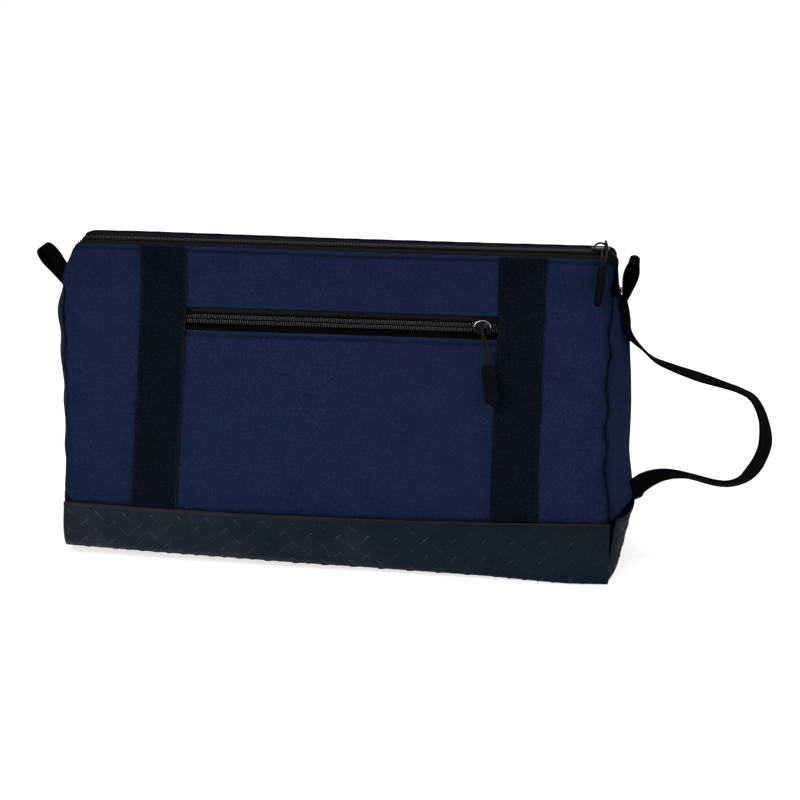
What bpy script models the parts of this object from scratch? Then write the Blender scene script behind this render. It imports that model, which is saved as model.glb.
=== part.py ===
"""Golf shoe bag: a wedge of canvas with a zipped ridge, a zipped front pocket, webbing trim and a tread base.

The frame: X runs along the bag towards the carry handle, the pocket faces -Y, Z is up,
and the origin is the middle of the underside of the base.
"""
import math

import bmesh
import bpy
from mathutils import Matrix, Vector

MM = 0.001

# Sizes that drive the bag
BAG_LENGTH = 350 * MM
BASE_DEPTH = 130 * MM
ZIP_END_HEIGHT = 171 * MM
ZIP_DROP = 25 * MM
RIDGE_WIDTH = 30 * MM
BASE_HEIGHT = 36 * MM
BASE_LAP = 8 * MM
BASE_ROUND = 12 * MM
PANEL_BULGE = 10 * MM
END_BULGE = 11 * MM
RIDGE_CORNER = 9 * MM
RIDGE_SETBACK = 10 * MM

# Cloth and sheet thicknesses
CANVAS = 1.6 * MM
LEATHER = 1.4 * MM
WEBBING = 1.6 * MM
TAPE = 0.8 * MM
BOARD = 3 * MM
BOARD_GAP = 2 * MM
POCKET_CLOTH = 0.8 * MM
CLEAR = 0.3 * MM

# Zips
ROOF_RISE = 3 * MM
CHAIN_GAP = 1.0 * MM
COIL_WIDTH = 2.6 * MM
COIL_HEIGHT = 1.6 * MM
STOP_LENGTH = 3 * MM
COIL_UNDER_STRAP = 4 * MM
POCKET_ZIP_DROP = 45 * MM
POCKET_WINDOW = 14 * MM
POCKET_ROOM = 9 * MM
POCKET_SEAM = 6 * MM
POCKET_RISE = 16 * MM
TAPE_LAP = 5 * MM

# Slider and pulls
SLIDER_LENGTH = 11 * MM
SLIDER_WIDTH = 9 * MM
PLATE = 1.1 * MM
SLIDER_WEB = 0.5 * MM
CROWN_WIDTH = 1.6 * MM
CROWN_BAR = 1.2 * MM
CORD_DIAMETER = 1.6 * MM
CORD_LENGTH = 24 * MM
GRIP_LENGTH = 26 * MM
GRIP_WIDTH = 9 * MM
GRIP_THICKNESS = 4 * MM
GRIP_ROUND = 0.8 * MM
SLIDER_PAST_CORNER = 3 * MM
SLIDER_TO_STRAP = 4 * MM
CORD_OVERHANG = 4 * MM
CORD_OVER_HEM = 1.5 * MM
PULL_TILT = math.radians(6)
MAIN_PULL_TILT = math.radians(9)

# Webbing
STRAP_WIDTH = 30 * MM
STRAP_BELOW_HEM = 1 * MM
STRAP_SPACING = 230 * MM
HANDLE_WIDTH = 25 * MM
HANDLE_AXIS_OUT = 18 * MM
TAB_WIDTH = 24 * MM
TAB_THICKNESS = 10 * MM
RIGHT_TAB_LENGTH = 25 * MM
RIGHT_TAB_LEAN = math.radians(17)
LEFT_TAB_LENGTH = 25 * MM
LEFT_TAB_LEAN = math.radians(40)

# The bow of the carry handle, as distances out from the end seam and heights above the floor
HANDLE_TOP = [(21, 133.5), (40, 125.8), (52, 122), (65.5, 118), (79, 114), (88, 108), (94, 97), (97, 84)]
HANDLE_BOTTOM = [(97, 73.5), (92, 62), (84, 53), (74.5, 49.5), (64, 49.5), (50, 53), (40, 53.9), (21, 50.5)]
HANDLE_BOW = [(out * MM, height * MM) for out, height in HANDLE_TOP + HANDLE_BOTTOM]
HANDLE_LEAVES = 145 * MM
HANDLE_LANDS = 42 * MM
HANDLE_BELOW_ZIP = 3 * MM
HANDLE_SPLIT = 0.8 * MM
HANDLE_TURN = HANDLE_WIDTH / 2 + 2 * HANDLE_SPLIT

# Sizes that follow
HALF_LENGTH = BAG_LENGTH / 2
SEAM_X = STRAP_SPACING / 2
HEM_HEIGHT = ZIP_END_HEIGHT + ZIP_DROP
POCKET_ZIP_HEIGHT = HEM_HEIGHT - POCKET_ZIP_DROP
COIL_TOP = CLEAR + COIL_HEIGHT
TRIM_STACK = LEATHER + CLEAR
PANEL_FOOT = BASE_HEIGHT - BASE_LAP
LEAN = math.atan((BASE_DEPTH - RIDGE_WIDTH) / 2 / ZIP_END_HEIGHT)
PANEL_OUT = Vector((0.0, -math.cos(LEAN), math.sin(LEAN)))
TAPE_TOP = HEM_HEIGHT + ROOF_RISE - CLEAR
CORD_WRAP = math.hypot(CROWN_WIDTH, CROWN_BAR) / 2 + CLEAR + CORD_DIAMETER / 2
BAR_HEIGHT = COIL_TOP + CLEAR + PLATE + CLEAR + CORD_DIAMETER / 2 + CORD_WRAP
SLIDER_REST = HALF_LENGTH - RIDGE_SETBACK - SLIDER_LENGTH / 2 + SLIDER_PAST_CORNER
POCKET_SLIDER_REST = SEAM_X - STRAP_WIDTH / 2 - SLIDER_LENGTH / 2 - SLIDER_TO_STRAP

for old in list(bpy.data.objects):
    bpy.data.objects.remove(old, do_unlink=True)

scene = bpy.context.scene
parts = bpy.data.collections.new("golf_shoe_bag")
cutters = bpy.data.collections.new("cutters")
scene.collection.children.link(parts)
scene.collection.children.link(cutters)
cutters.hide_render = True


def material(name, color, roughness, metallic=0.0):
    made = bpy.data.materials.new(name)
    made.use_nodes = True
    shader = made.node_tree.nodes["Principled BSDF"]
    shader.inputs["Base Color"].default_value = (*color, 1.0)
    shader.inputs["Roughness"].default_value = roughness
    shader.inputs["Metallic"].default_value = metallic
    return made


NAVY = material("navy_canvas", (0.011, 0.018, 0.050), 0.9)
BASE = material("embossed_base", (0.016, 0.020, 0.028), 0.5)
WEB = material("black_webbing", (0.005, 0.007, 0.013), 0.85)
TAPE_CLOTH = material("zip_tape", (0.013, 0.013, 0.016), 0.9)
NYLON = material("zip_coil", (0.020, 0.021, 0.025), 0.45)
METAL = material("slider_metal", (0.010, 0.010, 0.012), 0.25, 0.6)
CORD = material("pull_cord", (0.012, 0.013, 0.016), 0.7)
RUBBER = material("pull_grip", (0.006, 0.008, 0.012), 0.5)
INNER = material("inner_cloth", (0.02, 0.02, 0.022), 0.9)
STIFFENER = material("base_board", (0.05, 0.05, 0.05), 0.6)


def place(mesh, name, look, parent=None):
    """Put a mesh in the scene as one named piece."""
    mesh.materials.clear()
    mesh.materials.append(look)
    made = bpy.data.objects.new(name, mesh)
    parts.objects.link(made)
    made.parent = parent
    return made


def pivot(name, spot, turn=0.0, parent=None):
    """An empty on a joint, turned about X by the angle given."""
    made = bpy.data.objects.new(name, None)
    made.location = spot
    made.rotation_euler = (turn, 0.0, 0.0)
    made.parent = parent
    parts.objects.link(made)
    return made


def sheet(name, point, columns, rows, thickness, look, parent=None):
    """A cloth piece: an open grid laid on point(u, v), thickened inwards from its outer face."""
    bm = bmesh.new()
    bmesh.ops.create_grid(bm, x_segments=columns, y_segments=rows, size=0.5)
    for vert in bm.verts:
        vert.co = point(vert.co.x + 0.5, vert.co.y + 0.5)
    mesh = bpy.data.meshes.new(name)
    bm.to_mesh(mesh)
    bm.free()
    made = place(mesh, name, look, parent)
    solid = made.modifiers.new("thickness", "SOLIDIFY")
    solid.thickness = thickness
    solid.offset = -1.0
    solid.use_even_offset = True
    return made


def curve_mesh(name, curve):
    """Turn a curve into one closed mesh."""
    holder = bpy.data.objects.new(name, curve)
    cutters.objects.link(holder)
    bpy.context.view_layer.update()
    graph = bpy.context.evaluated_depsgraph_get()
    mesh = bpy.data.meshes.new_from_object(holder.evaluated_get(graph))
    bpy.data.objects.remove(holder)
    bm = bmesh.new()
    bm.from_mesh(mesh)
    bmesh.ops.remove_doubles(bm, verts=bm.verts, dist=0.01 * MM)
    bm.to_mesh(mesh)
    bm.free()
    return mesh


def cord_mesh(name, points, diameter):
    """A round cord through the points given."""
    curve = bpy.data.curves.new(name, "CURVE")
    curve.dimensions = "3D"
    curve.bevel_depth = diameter / 2
    curve.bevel_resolution = 1
    curve.use_fill_caps = True
    line = curve.splines.new("POLY")
    line.points.add(len(points) - 1)
    for spot, co in zip(line.points, points):
        spot.co = (*co, 1.0)
    return curve_mesh(name, curve)


def plate_mesh(name, outline, thickness):
    """A flat plate of the outline given, centred on its own plane."""
    curve = bpy.data.curves.new(name, "CURVE")
    curve.dimensions = "2D"
    curve.fill_mode = "BOTH"
    curve.extrude = thickness / 2
    line = curve.splines.new("POLY")
    line.points.add(len(outline) - 1)
    line.use_cyclic_u = True
    for spot, co in zip(line.points, outline):
        spot.co = (*co, 0.0, 1.0)
    return curve_mesh(name, curve)


def block_mesh(name, size):
    bm = bmesh.new()
    bmesh.ops.create_cube(bm, size=1.0, matrix=Matrix.Diagonal((*size, 1.0)))
    mesh = bpy.data.meshes.new(name)
    bm.to_mesh(mesh)
    bm.free()
    return mesh


def join_to(target, mesh, matrix):
    """Fuse a mesh into a piece, at the matrix given in the piece's own frame."""
    mesh.transform(matrix)
    tool = bpy.data.objects.new(target.name + "_tool", mesh)
    tool.parent = target
    tool.display_type = "WIRE"
    tool.hide_render = True
    cutters.objects.link(tool)
    union = target.modifiers.new("union", "BOOLEAN")
    union.operation = "UNION"
    union.solver = "EXACT"
    union.object = tool


def blend(start, end, amount):
    return start + (end - start) * amount


def ease(value, low, high):
    """Rises smoothly from 0 at low to 1 at high."""
    share = min(max((value - low) / (high - low), 0.0), 1.0)
    return share * share * (3 - 2 * share)


# The form of the bag

def seam_depth(z):
    """Half the depth of the bag at a height, along its corner seams."""
    below = max(ZIP_END_HEIGHT - z, 0.0)
    return RIDGE_WIDTH / 2 + below * math.tan(LEAN)


def front_depth(x, z):
    """Half the depth at any place on the front or back, with the filled-out middle."""
    across = 1 - (x / HALF_LENGTH) ** 2
    fullness = 1 - ease(z / ZIP_END_HEIGHT, 0.25, 0.82)
    return seam_depth(z) + PANEL_BULGE * across * fullness


def end_reach(y, z):
    """How far an end stands out from the middle of the bag."""
    across = max(1 - (y / seam_depth(z)) ** 2, 0.0)
    fullness = math.sin(math.pi * min(z / ZIP_END_HEIGHT, 1.0)) ** 0.6
    return HALF_LENGTH + END_BULGE * across * fullness


CORNER_X = HALF_LENGTH - RIDGE_SETBACK
CORNER_TURN = math.radians(68)


def ridge_path(top, foot):
    """Places along the zip, with the direction out of the bag, from the left end to the right."""
    right = [(0.0, top, 0.0, 1.0), (CORNER_X, top, 0.0, 1.0)]
    for step in range(1, 5):
        turn = CORNER_TURN * step / 4
        out = (math.sin(turn), math.cos(turn))
        right.append((CORNER_X + RIDGE_CORNER * out[0], top - RIDGE_CORNER * (1 - out[1]), *out))
    last = right[-1]
    run = Vector((HALF_LENGTH - last[0], ZIP_END_HEIGHT - last[1]))
    out = (-run.y / run.length, run.x / run.length)
    share = (foot - last[1]) / run.y
    right.append((last[0] + run.x * share, foot, *out))
    left = [(-x, z, -nx, nz) for x, z, nx, nz in reversed(right[1:])]
    return left + right


hem_path = ridge_path(HEM_HEIGHT, ZIP_END_HEIGHT)
RIDGE_OUTLINE = [(x, z) for x, z, nx, nz in hem_path if x > CORNER_X - CLEAR]


def panel_edge(z):
    """Where a front or back panel ends along X: straight up, then round the corner with the zip."""
    for (x0, z0), (x1, z1) in zip(RIDGE_OUTLINE, RIDGE_OUTLINE[1:]):
        if z1 <= z <= z0:
            return blend(x0, x1, (z0 - z) / (z0 - z1))
    return HALF_LENGTH if z < ZIP_END_HEIGHT else CORNER_X


PANEL_BENDS = (0.35, 0.5, 0.62, 0.74, 0.82, 0.9)
PANEL_ROWS = [PANEL_FOOT, BASE_HEIGHT, *[share * ZIP_END_HEIGHT for share in PANEL_BENDS], ZIP_END_HEIGHT]
CORNER_ROWS = sorted(z for x, z in RIDGE_OUTLINE)


def rows_between(low, high):
    """Heights for a piece of the panel, so that neighbouring pieces bend at the same heights."""
    inside = [z for z in PANEL_ROWS + CORNER_ROWS[1:] if low + MM < z < high - MM]
    return [low] + inside + [high]


def panel_piece(name, left, right, heights, columns, facing, look=None, raise_by=0.0, thickness=CANVAS):
    """Part of the front (facing -1) or back (facing 1), between two edges given as functions of height."""
    def point(u, v):
        z = heights[round(v * (len(heights) - 1))]
        x = blend(left(z), right(z), u)
        x = x if facing < 0 else -x
        return Vector((x, facing * front_depth(x, z), z)) + raise_by * PANEL_OUT
    return sheet(name, point, columns, len(heights) - 1, thickness, look or NAVY)


# Canvas panels
def left_edge(z):
    return -panel_edge(z)


def upright(x):
    """An edge that runs straight up."""
    return lambda z: x


full_rows = rows_between(PANEL_FOOT, HEM_HEIGHT)
seam_outer = SEAM_X + CLEAR / 2
seam_inner = SEAM_X - CLEAR / 2
panel_piece("front_left_panel", left_edge, upright(-seam_outer), full_rows, 4, -1)
panel_piece("front_right_panel", upright(seam_outer), panel_edge, full_rows, 4, -1)
panel_piece("back_panel", left_edge, panel_edge, full_rows, 12, 1)
window_low = POCKET_ZIP_HEIGHT - POCKET_WINDOW / 2
window_high = POCKET_ZIP_HEIGHT + POCKET_WINDOW / 2
upper_rows = rows_between(window_high, HEM_HEIGHT)
lower_rows = rows_between(PANEL_FOOT, window_low)
panel_piece("front_upper_panel", upright(-seam_inner), upright(seam_inner), upper_rows, 6, -1)
panel_piece("pocket_front_panel", upright(-seam_inner), upright(seam_inner), lower_rows, 6, -1)


def end_panel(name, side, low, high, set_in, thickness, look, edge):
    """An end gusset or end trim; side is 1 at the handle end and -1 at the other."""
    def point(u, v):
        z = blend(low, high, v)
        y = side * blend(-edge(z), edge(z), u)
        return Vector((side * (end_reach(y, z) - set_in), y, z))
    return sheet(name, point, 8, 8, thickness, look)


def gusset_edge(z):
    return seam_depth(z) - CANVAS / math.cos(LEAN) - CLEAR


gusset_top = ZIP_END_HEIGHT - CLEAR
for side, word in ((-1, "left"), (1, "right")):
    end_panel("end_gusset_" + word, side, PANEL_FOOT, gusset_top, TRIM_STACK, CANVAS, NAVY, gusset_edge)


# Base
def base_section(x):
    """The outside of the base across the bag at x, from the front edge under the floor to the back edge."""
    def wall(z):
        return front_depth(x, z) + TRIM_STACK
    half = [(wall(z), z) for z in (BASE_HEIGHT, BASE_ROUND * 2, BASE_ROUND)]
    centre = wall(BASE_ROUND) - BASE_ROUND
    for step in range(1, 4):
        turn = math.radians(90) * step / 3
        half.append((centre + BASE_ROUND * math.cos(turn), BASE_ROUND * (1 - math.sin(turn))))
    half.append((half[-1][0] / 2, 0.0))
    return [(-y, z) for y, z in half] + [(0.0, 0.0)] + half[::-1]


def base_point(u, v):
    x = blend(-HALF_LENGTH, HALF_LENGTH, u)
    section = base_section(x)
    y, z = section[round((1 - v) * (len(section) - 1))]
    return Vector((x, y, z))


sheet("base_wrap", base_point, 12, len(base_section(0.0)) - 1, LEATHER, BASE)


def end_trim_edge(z):
    """Half the width of an end trim: inside the canvas lap, and inside the rounded edge of the base."""
    if z >= BASE_ROUND:
        return gusset_edge(z)
    inner_round = BASE_ROUND - LEATHER - 3 * CLEAR
    centre = seam_depth(BASE_ROUND) + TRIM_STACK - BASE_ROUND
    rounded = centre + math.sqrt(max(inner_round ** 2 - (BASE_ROUND - z) ** 2, 0.0))
    return min(gusset_edge(BASE_ROUND), rounded)


for side, word in ((-1, "left"), (1, "right")):
    end_panel("base_end_" + word, side, LEATHER + 3 * CLEAR, BASE_HEIGHT, 0.0, LEATHER, BASE, end_trim_edge)

board_half = seam_depth(BASE_ROUND) - BASE_ROUND - BOARD_GAP
board_end = HALF_LENGTH - LEATHER - CANVAS - BOARD_GAP
board_outline = []
for quarter, (sx, sy) in enumerate(((1, 1), (-1, 1), (-1, -1), (1, -1))):
    spot = (sx * (board_end - BASE_ROUND), sy * (board_half - BASE_ROUND))
    for step in range(5):
        turn = math.radians(90) * (quarter + step / 4)
        board_outline.append((spot[0] + BASE_ROUND * math.cos(turn), spot[1] + BASE_ROUND * math.sin(turn)))
board =place(plate_mesh("base_board", board_outline, BOARD), "base_board", STIFFENER)
board.location.z = LEATHER + CLEAR + BOARD / 2

# Straps on the front, from the base trim to the ridge
strap_rows = rows_between(BASE_HEIGHT + CLEAR, HEM_HEIGHT - STRAP_BELOW_HEM)
for side, word in ((-1, "left"), (1, "right")):
    edges = [upright(side * SEAM_X + reach) for reach in (-STRAP_WIDTH / 2, STRAP_WIDTH / 2)]
    panel_piece("front_strap_" + word, *edges, strap_rows, 2, -1, WEB, CLEAR + WEBBING, WEBBING)


# Main zip along the ridge and down both ends
tape_path = ridge_path(TAPE_TOP, ZIP_END_HEIGHT + CLEAR)
coil_path = ridge_path(TAPE_TOP, ZIP_END_HEIGHT + STOP_LENGTH + 2 * CLEAR)


def strip(name, path, near, far, rise, thickness, side, look):
    """A strip beside the zip line, from near to far; rise lifts its outer face off the tape."""
    def point(u, v):
        x, z, nx, nz = path[round(u * (len(path) - 1))]
        share = v if side > 0 else 1 - v
        reach = blend(near, far(z), share)
        lift = rise(reach)
        return Vector((x + nx * lift, side * reach, z + nz * lift))
    return sheet(name, point, len(path) - 1, 2, thickness, look)


def tape_far(z):
    return seam_depth(min(z, HEM_HEIGHT)) - CANVAS / math.cos(LEAN) - CLEAR


def roof(reach):
    return -ROOF_RISE * (reach - CHAIN_GAP / 2) / (RIDGE_WIDTH / 2)


for side, word in ((-1, "front"), (1, "back")):
    strip("main_zip_tape_" + word, tape_path, CHAIN_GAP / 2, tape_far, roof, TAPE, side, TAPE_CLOTH)
    strip("main_zip_coil_" + word, coil_path, CHAIN_GAP / 2, lambda z: CHAIN_GAP / 2 + COIL_WIDTH,
          lambda reach: COIL_TOP, COIL_HEIGHT, side, NYLON)

for side, word in ((-1, "left"), (1, "right")):
    x, z, nx, nz = [(end + start) / 2 for end, start in zip(tape_path[-1], coil_path[-1])]
    block = block_mesh("stop", (COIL_HEIGHT, 2 * COIL_WIDTH + CHAIN_GAP, STOP_LENGTH))
    stop = place(block, "main_zip_stop_" + word, METAL)
    rise = CLEAR + COIL_HEIGHT / 2
    stop.location = (side * (x + nx * rise), 0.0, z + nz * rise)
    stop.rotation_euler.y = -side * math.atan2(nz, nx)

# Pocket zip between the straps
tape_in = CANVAS + CLEAR
zip_half = SEAM_X - CLEAR * 2
coil_half = SEAM_X - STRAP_WIDTH / 2 + COIL_UNDER_STRAP


def pocket_strip(name, low, high, half, inset, thickness, look):
    rows = [low, (low + high) / 2, high]
    panel_piece(name, upright(-half), upright(half), rows, 6, -1, look, -inset, thickness)


for side, word in ((1, "upper"), (-1, "lower")):
    near = POCKET_ZIP_HEIGHT + side * CHAIN_GAP / 2
    far = POCKET_ZIP_HEIGHT + side * (POCKET_WINDOW / 2 + TAPE_LAP)
    coil_far = near + side * COIL_WIDTH
    tape_rows = sorted((near, far))
    coil_rows = sorted((near, coil_far))
    pocket_strip("pocket_zip_tape_" + word, *tape_rows, zip_half, tape_in, TAPE, TAPE_CLOTH)
    pocket_strip("pocket_zip_coil_" + word, *coil_rows, coil_half, tape_in - COIL_TOP, COIL_HEIGHT, NYLON)

pocket_turn = math.pi / 2 - LEAN


def pocket_spot(x, out):
    """A place on the pocket zip line, out from the face of its tape."""
    return Vector((x, -seam_depth(POCKET_ZIP_HEIGHT), POCKET_ZIP_HEIGHT)) + PANEL_OUT * (out - tape_in)


stop_height = COIL_HEIGHT - CLEAR
for side, word in ((-1, "left"), (1, "right")):
    block = block_mesh("stop", (STOP_LENGTH, 2 * COIL_WIDTH, stop_height))
    stop = place(block, "pocket_zip_stop_" + word, METAL)
    stop.location = pocket_spot(side * (coil_half + CLEAR + STOP_LENGTH / 2), CLEAR + stop_height / 2)
    stop.rotation_euler.x = pocket_turn


def backing_point(u, v):
    """The pocket's inner cloth, drawn in to the panel along its edges."""
    z = blend(BASE_HEIGHT + POCKET_SEAM / 3, window_high + POCKET_RISE, v)
    x = blend(-1, 1, u) * (SEAM_X - POCKET_SEAM)
    across = ease(SEAM_X - abs(x), POCKET_SEAM + CLEAR, POCKET_RISE)
    along = 1 - ease(z, window_high + POCKET_SEAM, window_high + POCKET_RISE)
    lining = (tape_in + TAPE + CLEAR) / math.cos(LEAN)
    return Vector((x, -front_depth(x, z) + lining + POCKET_ROOM * across * along, z))


sheet("pocket_backing", backing_point, 16, 12, POCKET_CLOTH, INNER)


# Sliders
def oval(width, height, low, steps):
    """Half an ellipse standing on a line, from right to left."""
    turns = [math.pi * step / steps for step in range(steps + 1)]
    return [(width / 2 * math.cos(turn), low + height * math.sin(turn)) for turn in turns]


def slider(name, holder):
    """Two plates, the web between the zip's halves and the arched crown, as one casting."""
    under = -TAPE - ROOF_RISE * SLIDER_WIDTH / RIDGE_WIDTH - CLEAR * 2 - PLATE / 2
    over = COIL_TOP + CLEAR + PLATE / 2
    nose, tail, mid = SLIDER_WIDTH / 2, SLIDER_WIDTH * 0.36, SLIDER_LENGTH / 2
    outline = [(mid, nose * 0.7), (mid * 0.6, nose), (0.0, nose * 0.95), (-mid, tail)]
    outline += [(x, -y) for x, y in reversed(outline)]
    body = place(plate_mesh(name, outline, PLATE), name, METAL, holder)
    body.data.transform(Matrix.Translation((0.0, 0.0, over)))
    join_to(body, plate_mesh(name, outline, PLATE), Matrix.Translation((0.0, 0.0, under)))
    web = block_mesh(name, (SLIDER_LENGTH * 0.45, SLIDER_WEB, over - under + PLATE / 2))
    join_to(body, web, Matrix.Translation((SLIDER_LENGTH * 0.2, 0.0, (over + under) / 2)))
    foot = over + PLATE / 4
    crown_top = BAR_HEIGHT + CROWN_BAR / 2 - foot
    arch = oval(SLIDER_LENGTH * 0.86, crown_top, 0.0, 10)
    arch += reversed(oval(SLIDER_LENGTH * 0.86 - 2 * CROWN_BAR, crown_top - CROWN_BAR, 0.0, 10))
    stand = Matrix.Translation((0.0, 0.0, foot)) @ Matrix.Rotation(math.pi / 2, 4, "X")
    join_to(body, plate_mesh(name, arch, CROWN_WIDTH), stand)
    return body


def grip(name, holder, top):
    """The moulded grip, hanging towards -Y from the distance given."""
    half = GRIP_WIDTH / 2
    neck = half * 0.6
    turns = [math.pi * step / 8 for step in range(9)]
    end = [(half * math.cos(turn), half - GRIP_LENGTH - half * math.sin(turn)) for turn in turns]
    outline = [(-neck, 0.0), (neck, 0.0), (half, -half)] + end + [(-half, -half)]
    made = place(plate_mesh(name, outline, GRIP_THICKNESS), name, RUBBER, holder)
    made.data.transform(Matrix.Translation((0.0, -top, 0.0)))
    edge = made.modifiers.new("round", "BEVEL")
    edge.width = GRIP_ROUND
    edge.segments = 2
    edge.limit_method = "ANGLE"
    edge.angle_limit = math.radians(50)
    return made


def around_bar(reach):
    """A loop of cord over the crown, with both strands running out to the reach given."""
    turns = [math.pi * step / 6 for step in range(7)]
    over = [(0.0, CORD_WRAP * math.sin(turn), CORD_WRAP * math.cos(turn)) for turn in turns]
    side = CORD_DIAMETER / 2 + CLEAR
    steps = [0.2, 0.4, 0.6, 0.8, 1.0]
    strands = []
    for low in (1, -1):
        run = []
        for share in steps:
            turn = math.pi / 2 * ease(share, 0.1, 0.9)
            spread = blend(CORD_WRAP, side, share)
            run.append((low * spread * math.sin(turn), -reach * share, low * spread * math.cos(turn)))
        strands.append(run)
    return strands[0][::-1] + over + strands[1]


main_seat = pivot("main_slider_seat", (SLIDER_REST, 0.0, TAPE_TOP))
slider("main_slider", main_seat)
bend_out = RIDGE_WIDTH / 2 + CORD_OVERHANG
bend_up = HEM_HEIGHT + CORD_OVER_HEM - TAPE_TOP
main_cord = [(x, y, z + BAR_HEIGHT) for x, y, z in around_bar(bend_out)]
for index, (x, y, z) in enumerate(main_cord):
    drop = (BAR_HEIGHT - bend_up) * ease(-y, SLIDER_WIDTH / 2, bend_out)
    main_cord[index] = (x, y, z - drop)
place(cord_mesh("main_pull_cord", main_cord, CORD_DIAMETER), "main_pull_cord", CORD, main_seat)
swing_out = bend_out + CORD_DIAMETER / 2 + CLEAR
main_pull = pivot("main_pull_swing", (0.0, -swing_out, bend_up), math.pi / 2 - MAIN_PULL_TILT, main_seat)
grip("main_pull_grip", main_pull, CORD_DIAMETER / 2 + CLEAR)

pocket_seat = pivot("pocket_slider_seat", pocket_spot(POCKET_SLIDER_REST, 0.0), pocket_turn)
slider("pocket_slider", pocket_seat)
pocket_pull = pivot("pocket_pull_swing", (0.0, 0.0, BAR_HEIGHT), -PULL_TILT, pocket_seat)
pocket_cord = cord_mesh("pocket_pull_cord", around_bar(CORD_LENGTH), CORD_DIAMETER)
place(pocket_cord, "pocket_pull_cord", CORD, pocket_pull)
grip("pocket_pull_grip", pocket_pull, CORD_LENGTH + CLEAR)

# Carry handle at the right end: two sewn ends and the free bow
handle_axis = Vector((HALF_LENGTH + HANDLE_AXIS_OUT, 0.0, (HANDLE_LEAVES + HANDLE_LANDS) / 2))
handle_swing = pivot("handle_swing", handle_axis)


def ribbon(name, spots, width, look, parent=None, origin=Vector((0.0, 0.0, 0.0))):
    """Webbing along places in the XZ plane; a place can be a function of how far across the webbing it is."""
    def point(u, v):
        y = blend(-width / 2, width / 2, u)
        spot = spots[round(v * (len(spots) - 1))]
        x, z = spot(y) if callable(spot) else spot
        return Vector((x, y, z)) - origin
    return sheet(name, point, 6, len(spots) - 1, WEBBING, look, parent)


def turning_edge(inner, outer, radius):
    """The end of a ribbon as an arc round the handle's axis, on the line between two places."""
    def spot(y):
        x = handle_axis.x + math.sqrt(radius ** 2 - y ** 2)
        return x, blend(inner[1], outer[1], (x - inner[0]) / (outer[0] - inner[0]))
    return spot


bow = [(HALF_LENGTH + out, height) for out, height in HANDLE_BOW]
bow_starts = turning_edge(bow[0], bow[1], HANDLE_TURN)
bow_ends = turning_edge(bow[-1], bow[-2], HANDLE_TURN)
bow_rows = [bow_starts, *bow[1:-1], bow_ends]
sewn_turn = HANDLE_TURN - HANDLE_SPLIT
ribbon("handle_bow", bow_rows[::-1], HANDLE_WIDTH, WEB, handle_swing, handle_axis)
sewn_out = CLEAR + WEBBING - TRIM_STACK
wall_rows = [ZIP_END_HEIGHT - HANDLE_BELOW_ZIP, blend(ZIP_END_HEIGHT, HANDLE_LEAVES, 0.6), HANDLE_LEAVES]
top_end = [(end_reach(0.0, z) + sewn_out, z) for z in wall_rows]
first = bow[0]
top_end.append((blend(top_end[-1][0], first[0], 0.5), blend(HANDLE_LEAVES, first[1], 0.62)))
top_end += [first, turning_edge(first, bow[1], sewn_turn)]
ribbon("handle_top_end", top_end[::-1], HANDLE_WIDTH, WEB)
last = bow[-1]
foot_rows = [HANDLE_LANDS, BASE_HEIGHT + CLEAR]
bottom_end = [(end_reach(0.0, z) + sewn_out, z) for z in foot_rows]
bottom_end.insert(0, (blend(bottom_end[0][0], last[0], 0.5), blend(HANDLE_LANDS, last[1], 0.62)))
bottom_end = [turning_edge(last, bow[-2], sewn_turn), last] + bottom_end
ribbon("handle_bottom_end", bottom_end[::-1], HANDLE_WIDTH, WEB)


# Tab loops at both ends of the zip
def teardrop(length):
    """A folded loop of webbing seen edge-on: up one side, round the tip and down the other."""
    half = TAB_THICKNESS / 2
    root = WEBBING + CLEAR
    climb = [(root, 0.0), (blend(root, half, 0.45), length * 0.25), (half, length * 0.55)]
    tip = [(half * 0.92, length * 0.72), (half * 0.6, length * 0.91), (0.0, length)]
    right = climb + tip
    return right + [(-x, z) for x, z in reversed(right[:-1])]


def tab(name, side, length, lean):
    x, z, nx, nz = tape_path[-1]
    root_out = COIL_TOP + (WEBBING + CLEAR) * math.cos(lean) + 2 * CLEAR
    root = Vector((side * (x + nx * root_out), 0.0, ZIP_END_HEIGHT + CLEAR))
    swing = pivot(name + "_root", root)
    swing.rotation_euler.y = side * lean
    loop = teardrop(length)
    ribbon(name, loop, TAB_WIDTH, WEB, swing)


tab("tab_right", 1, RIGHT_TAB_LENGTH, RIGHT_TAB_LEAN)
tab("tab_left", -1, LEFT_TAB_LENGTH, LEFT_TAB_LEAN)
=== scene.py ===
"""The golf shoe bag with its cloth, stitching, zips, pulls, tabs and handle, on a pale floor.

X runs along the bag towards the handle, the pocket faces -Y, Z is up and lengths are in metres.
"""
import math
from functools import lru_cache, partial

import bpy
import numpy as np
from mathutils import Matrix, Vector, noise


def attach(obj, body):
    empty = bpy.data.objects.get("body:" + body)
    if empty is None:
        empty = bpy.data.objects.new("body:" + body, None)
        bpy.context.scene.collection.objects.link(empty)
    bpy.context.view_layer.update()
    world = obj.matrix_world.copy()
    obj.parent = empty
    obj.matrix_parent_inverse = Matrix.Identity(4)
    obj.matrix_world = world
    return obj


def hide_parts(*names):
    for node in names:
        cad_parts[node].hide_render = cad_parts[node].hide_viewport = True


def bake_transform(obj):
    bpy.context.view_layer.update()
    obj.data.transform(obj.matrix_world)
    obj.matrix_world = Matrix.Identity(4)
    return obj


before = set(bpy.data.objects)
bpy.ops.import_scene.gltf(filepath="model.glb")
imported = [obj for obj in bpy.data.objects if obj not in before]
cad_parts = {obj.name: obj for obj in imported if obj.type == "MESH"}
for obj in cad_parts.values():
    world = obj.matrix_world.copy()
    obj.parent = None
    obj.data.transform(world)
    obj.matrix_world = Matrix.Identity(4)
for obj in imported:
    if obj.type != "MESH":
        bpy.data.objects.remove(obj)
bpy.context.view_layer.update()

MM = 0.001
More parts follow.
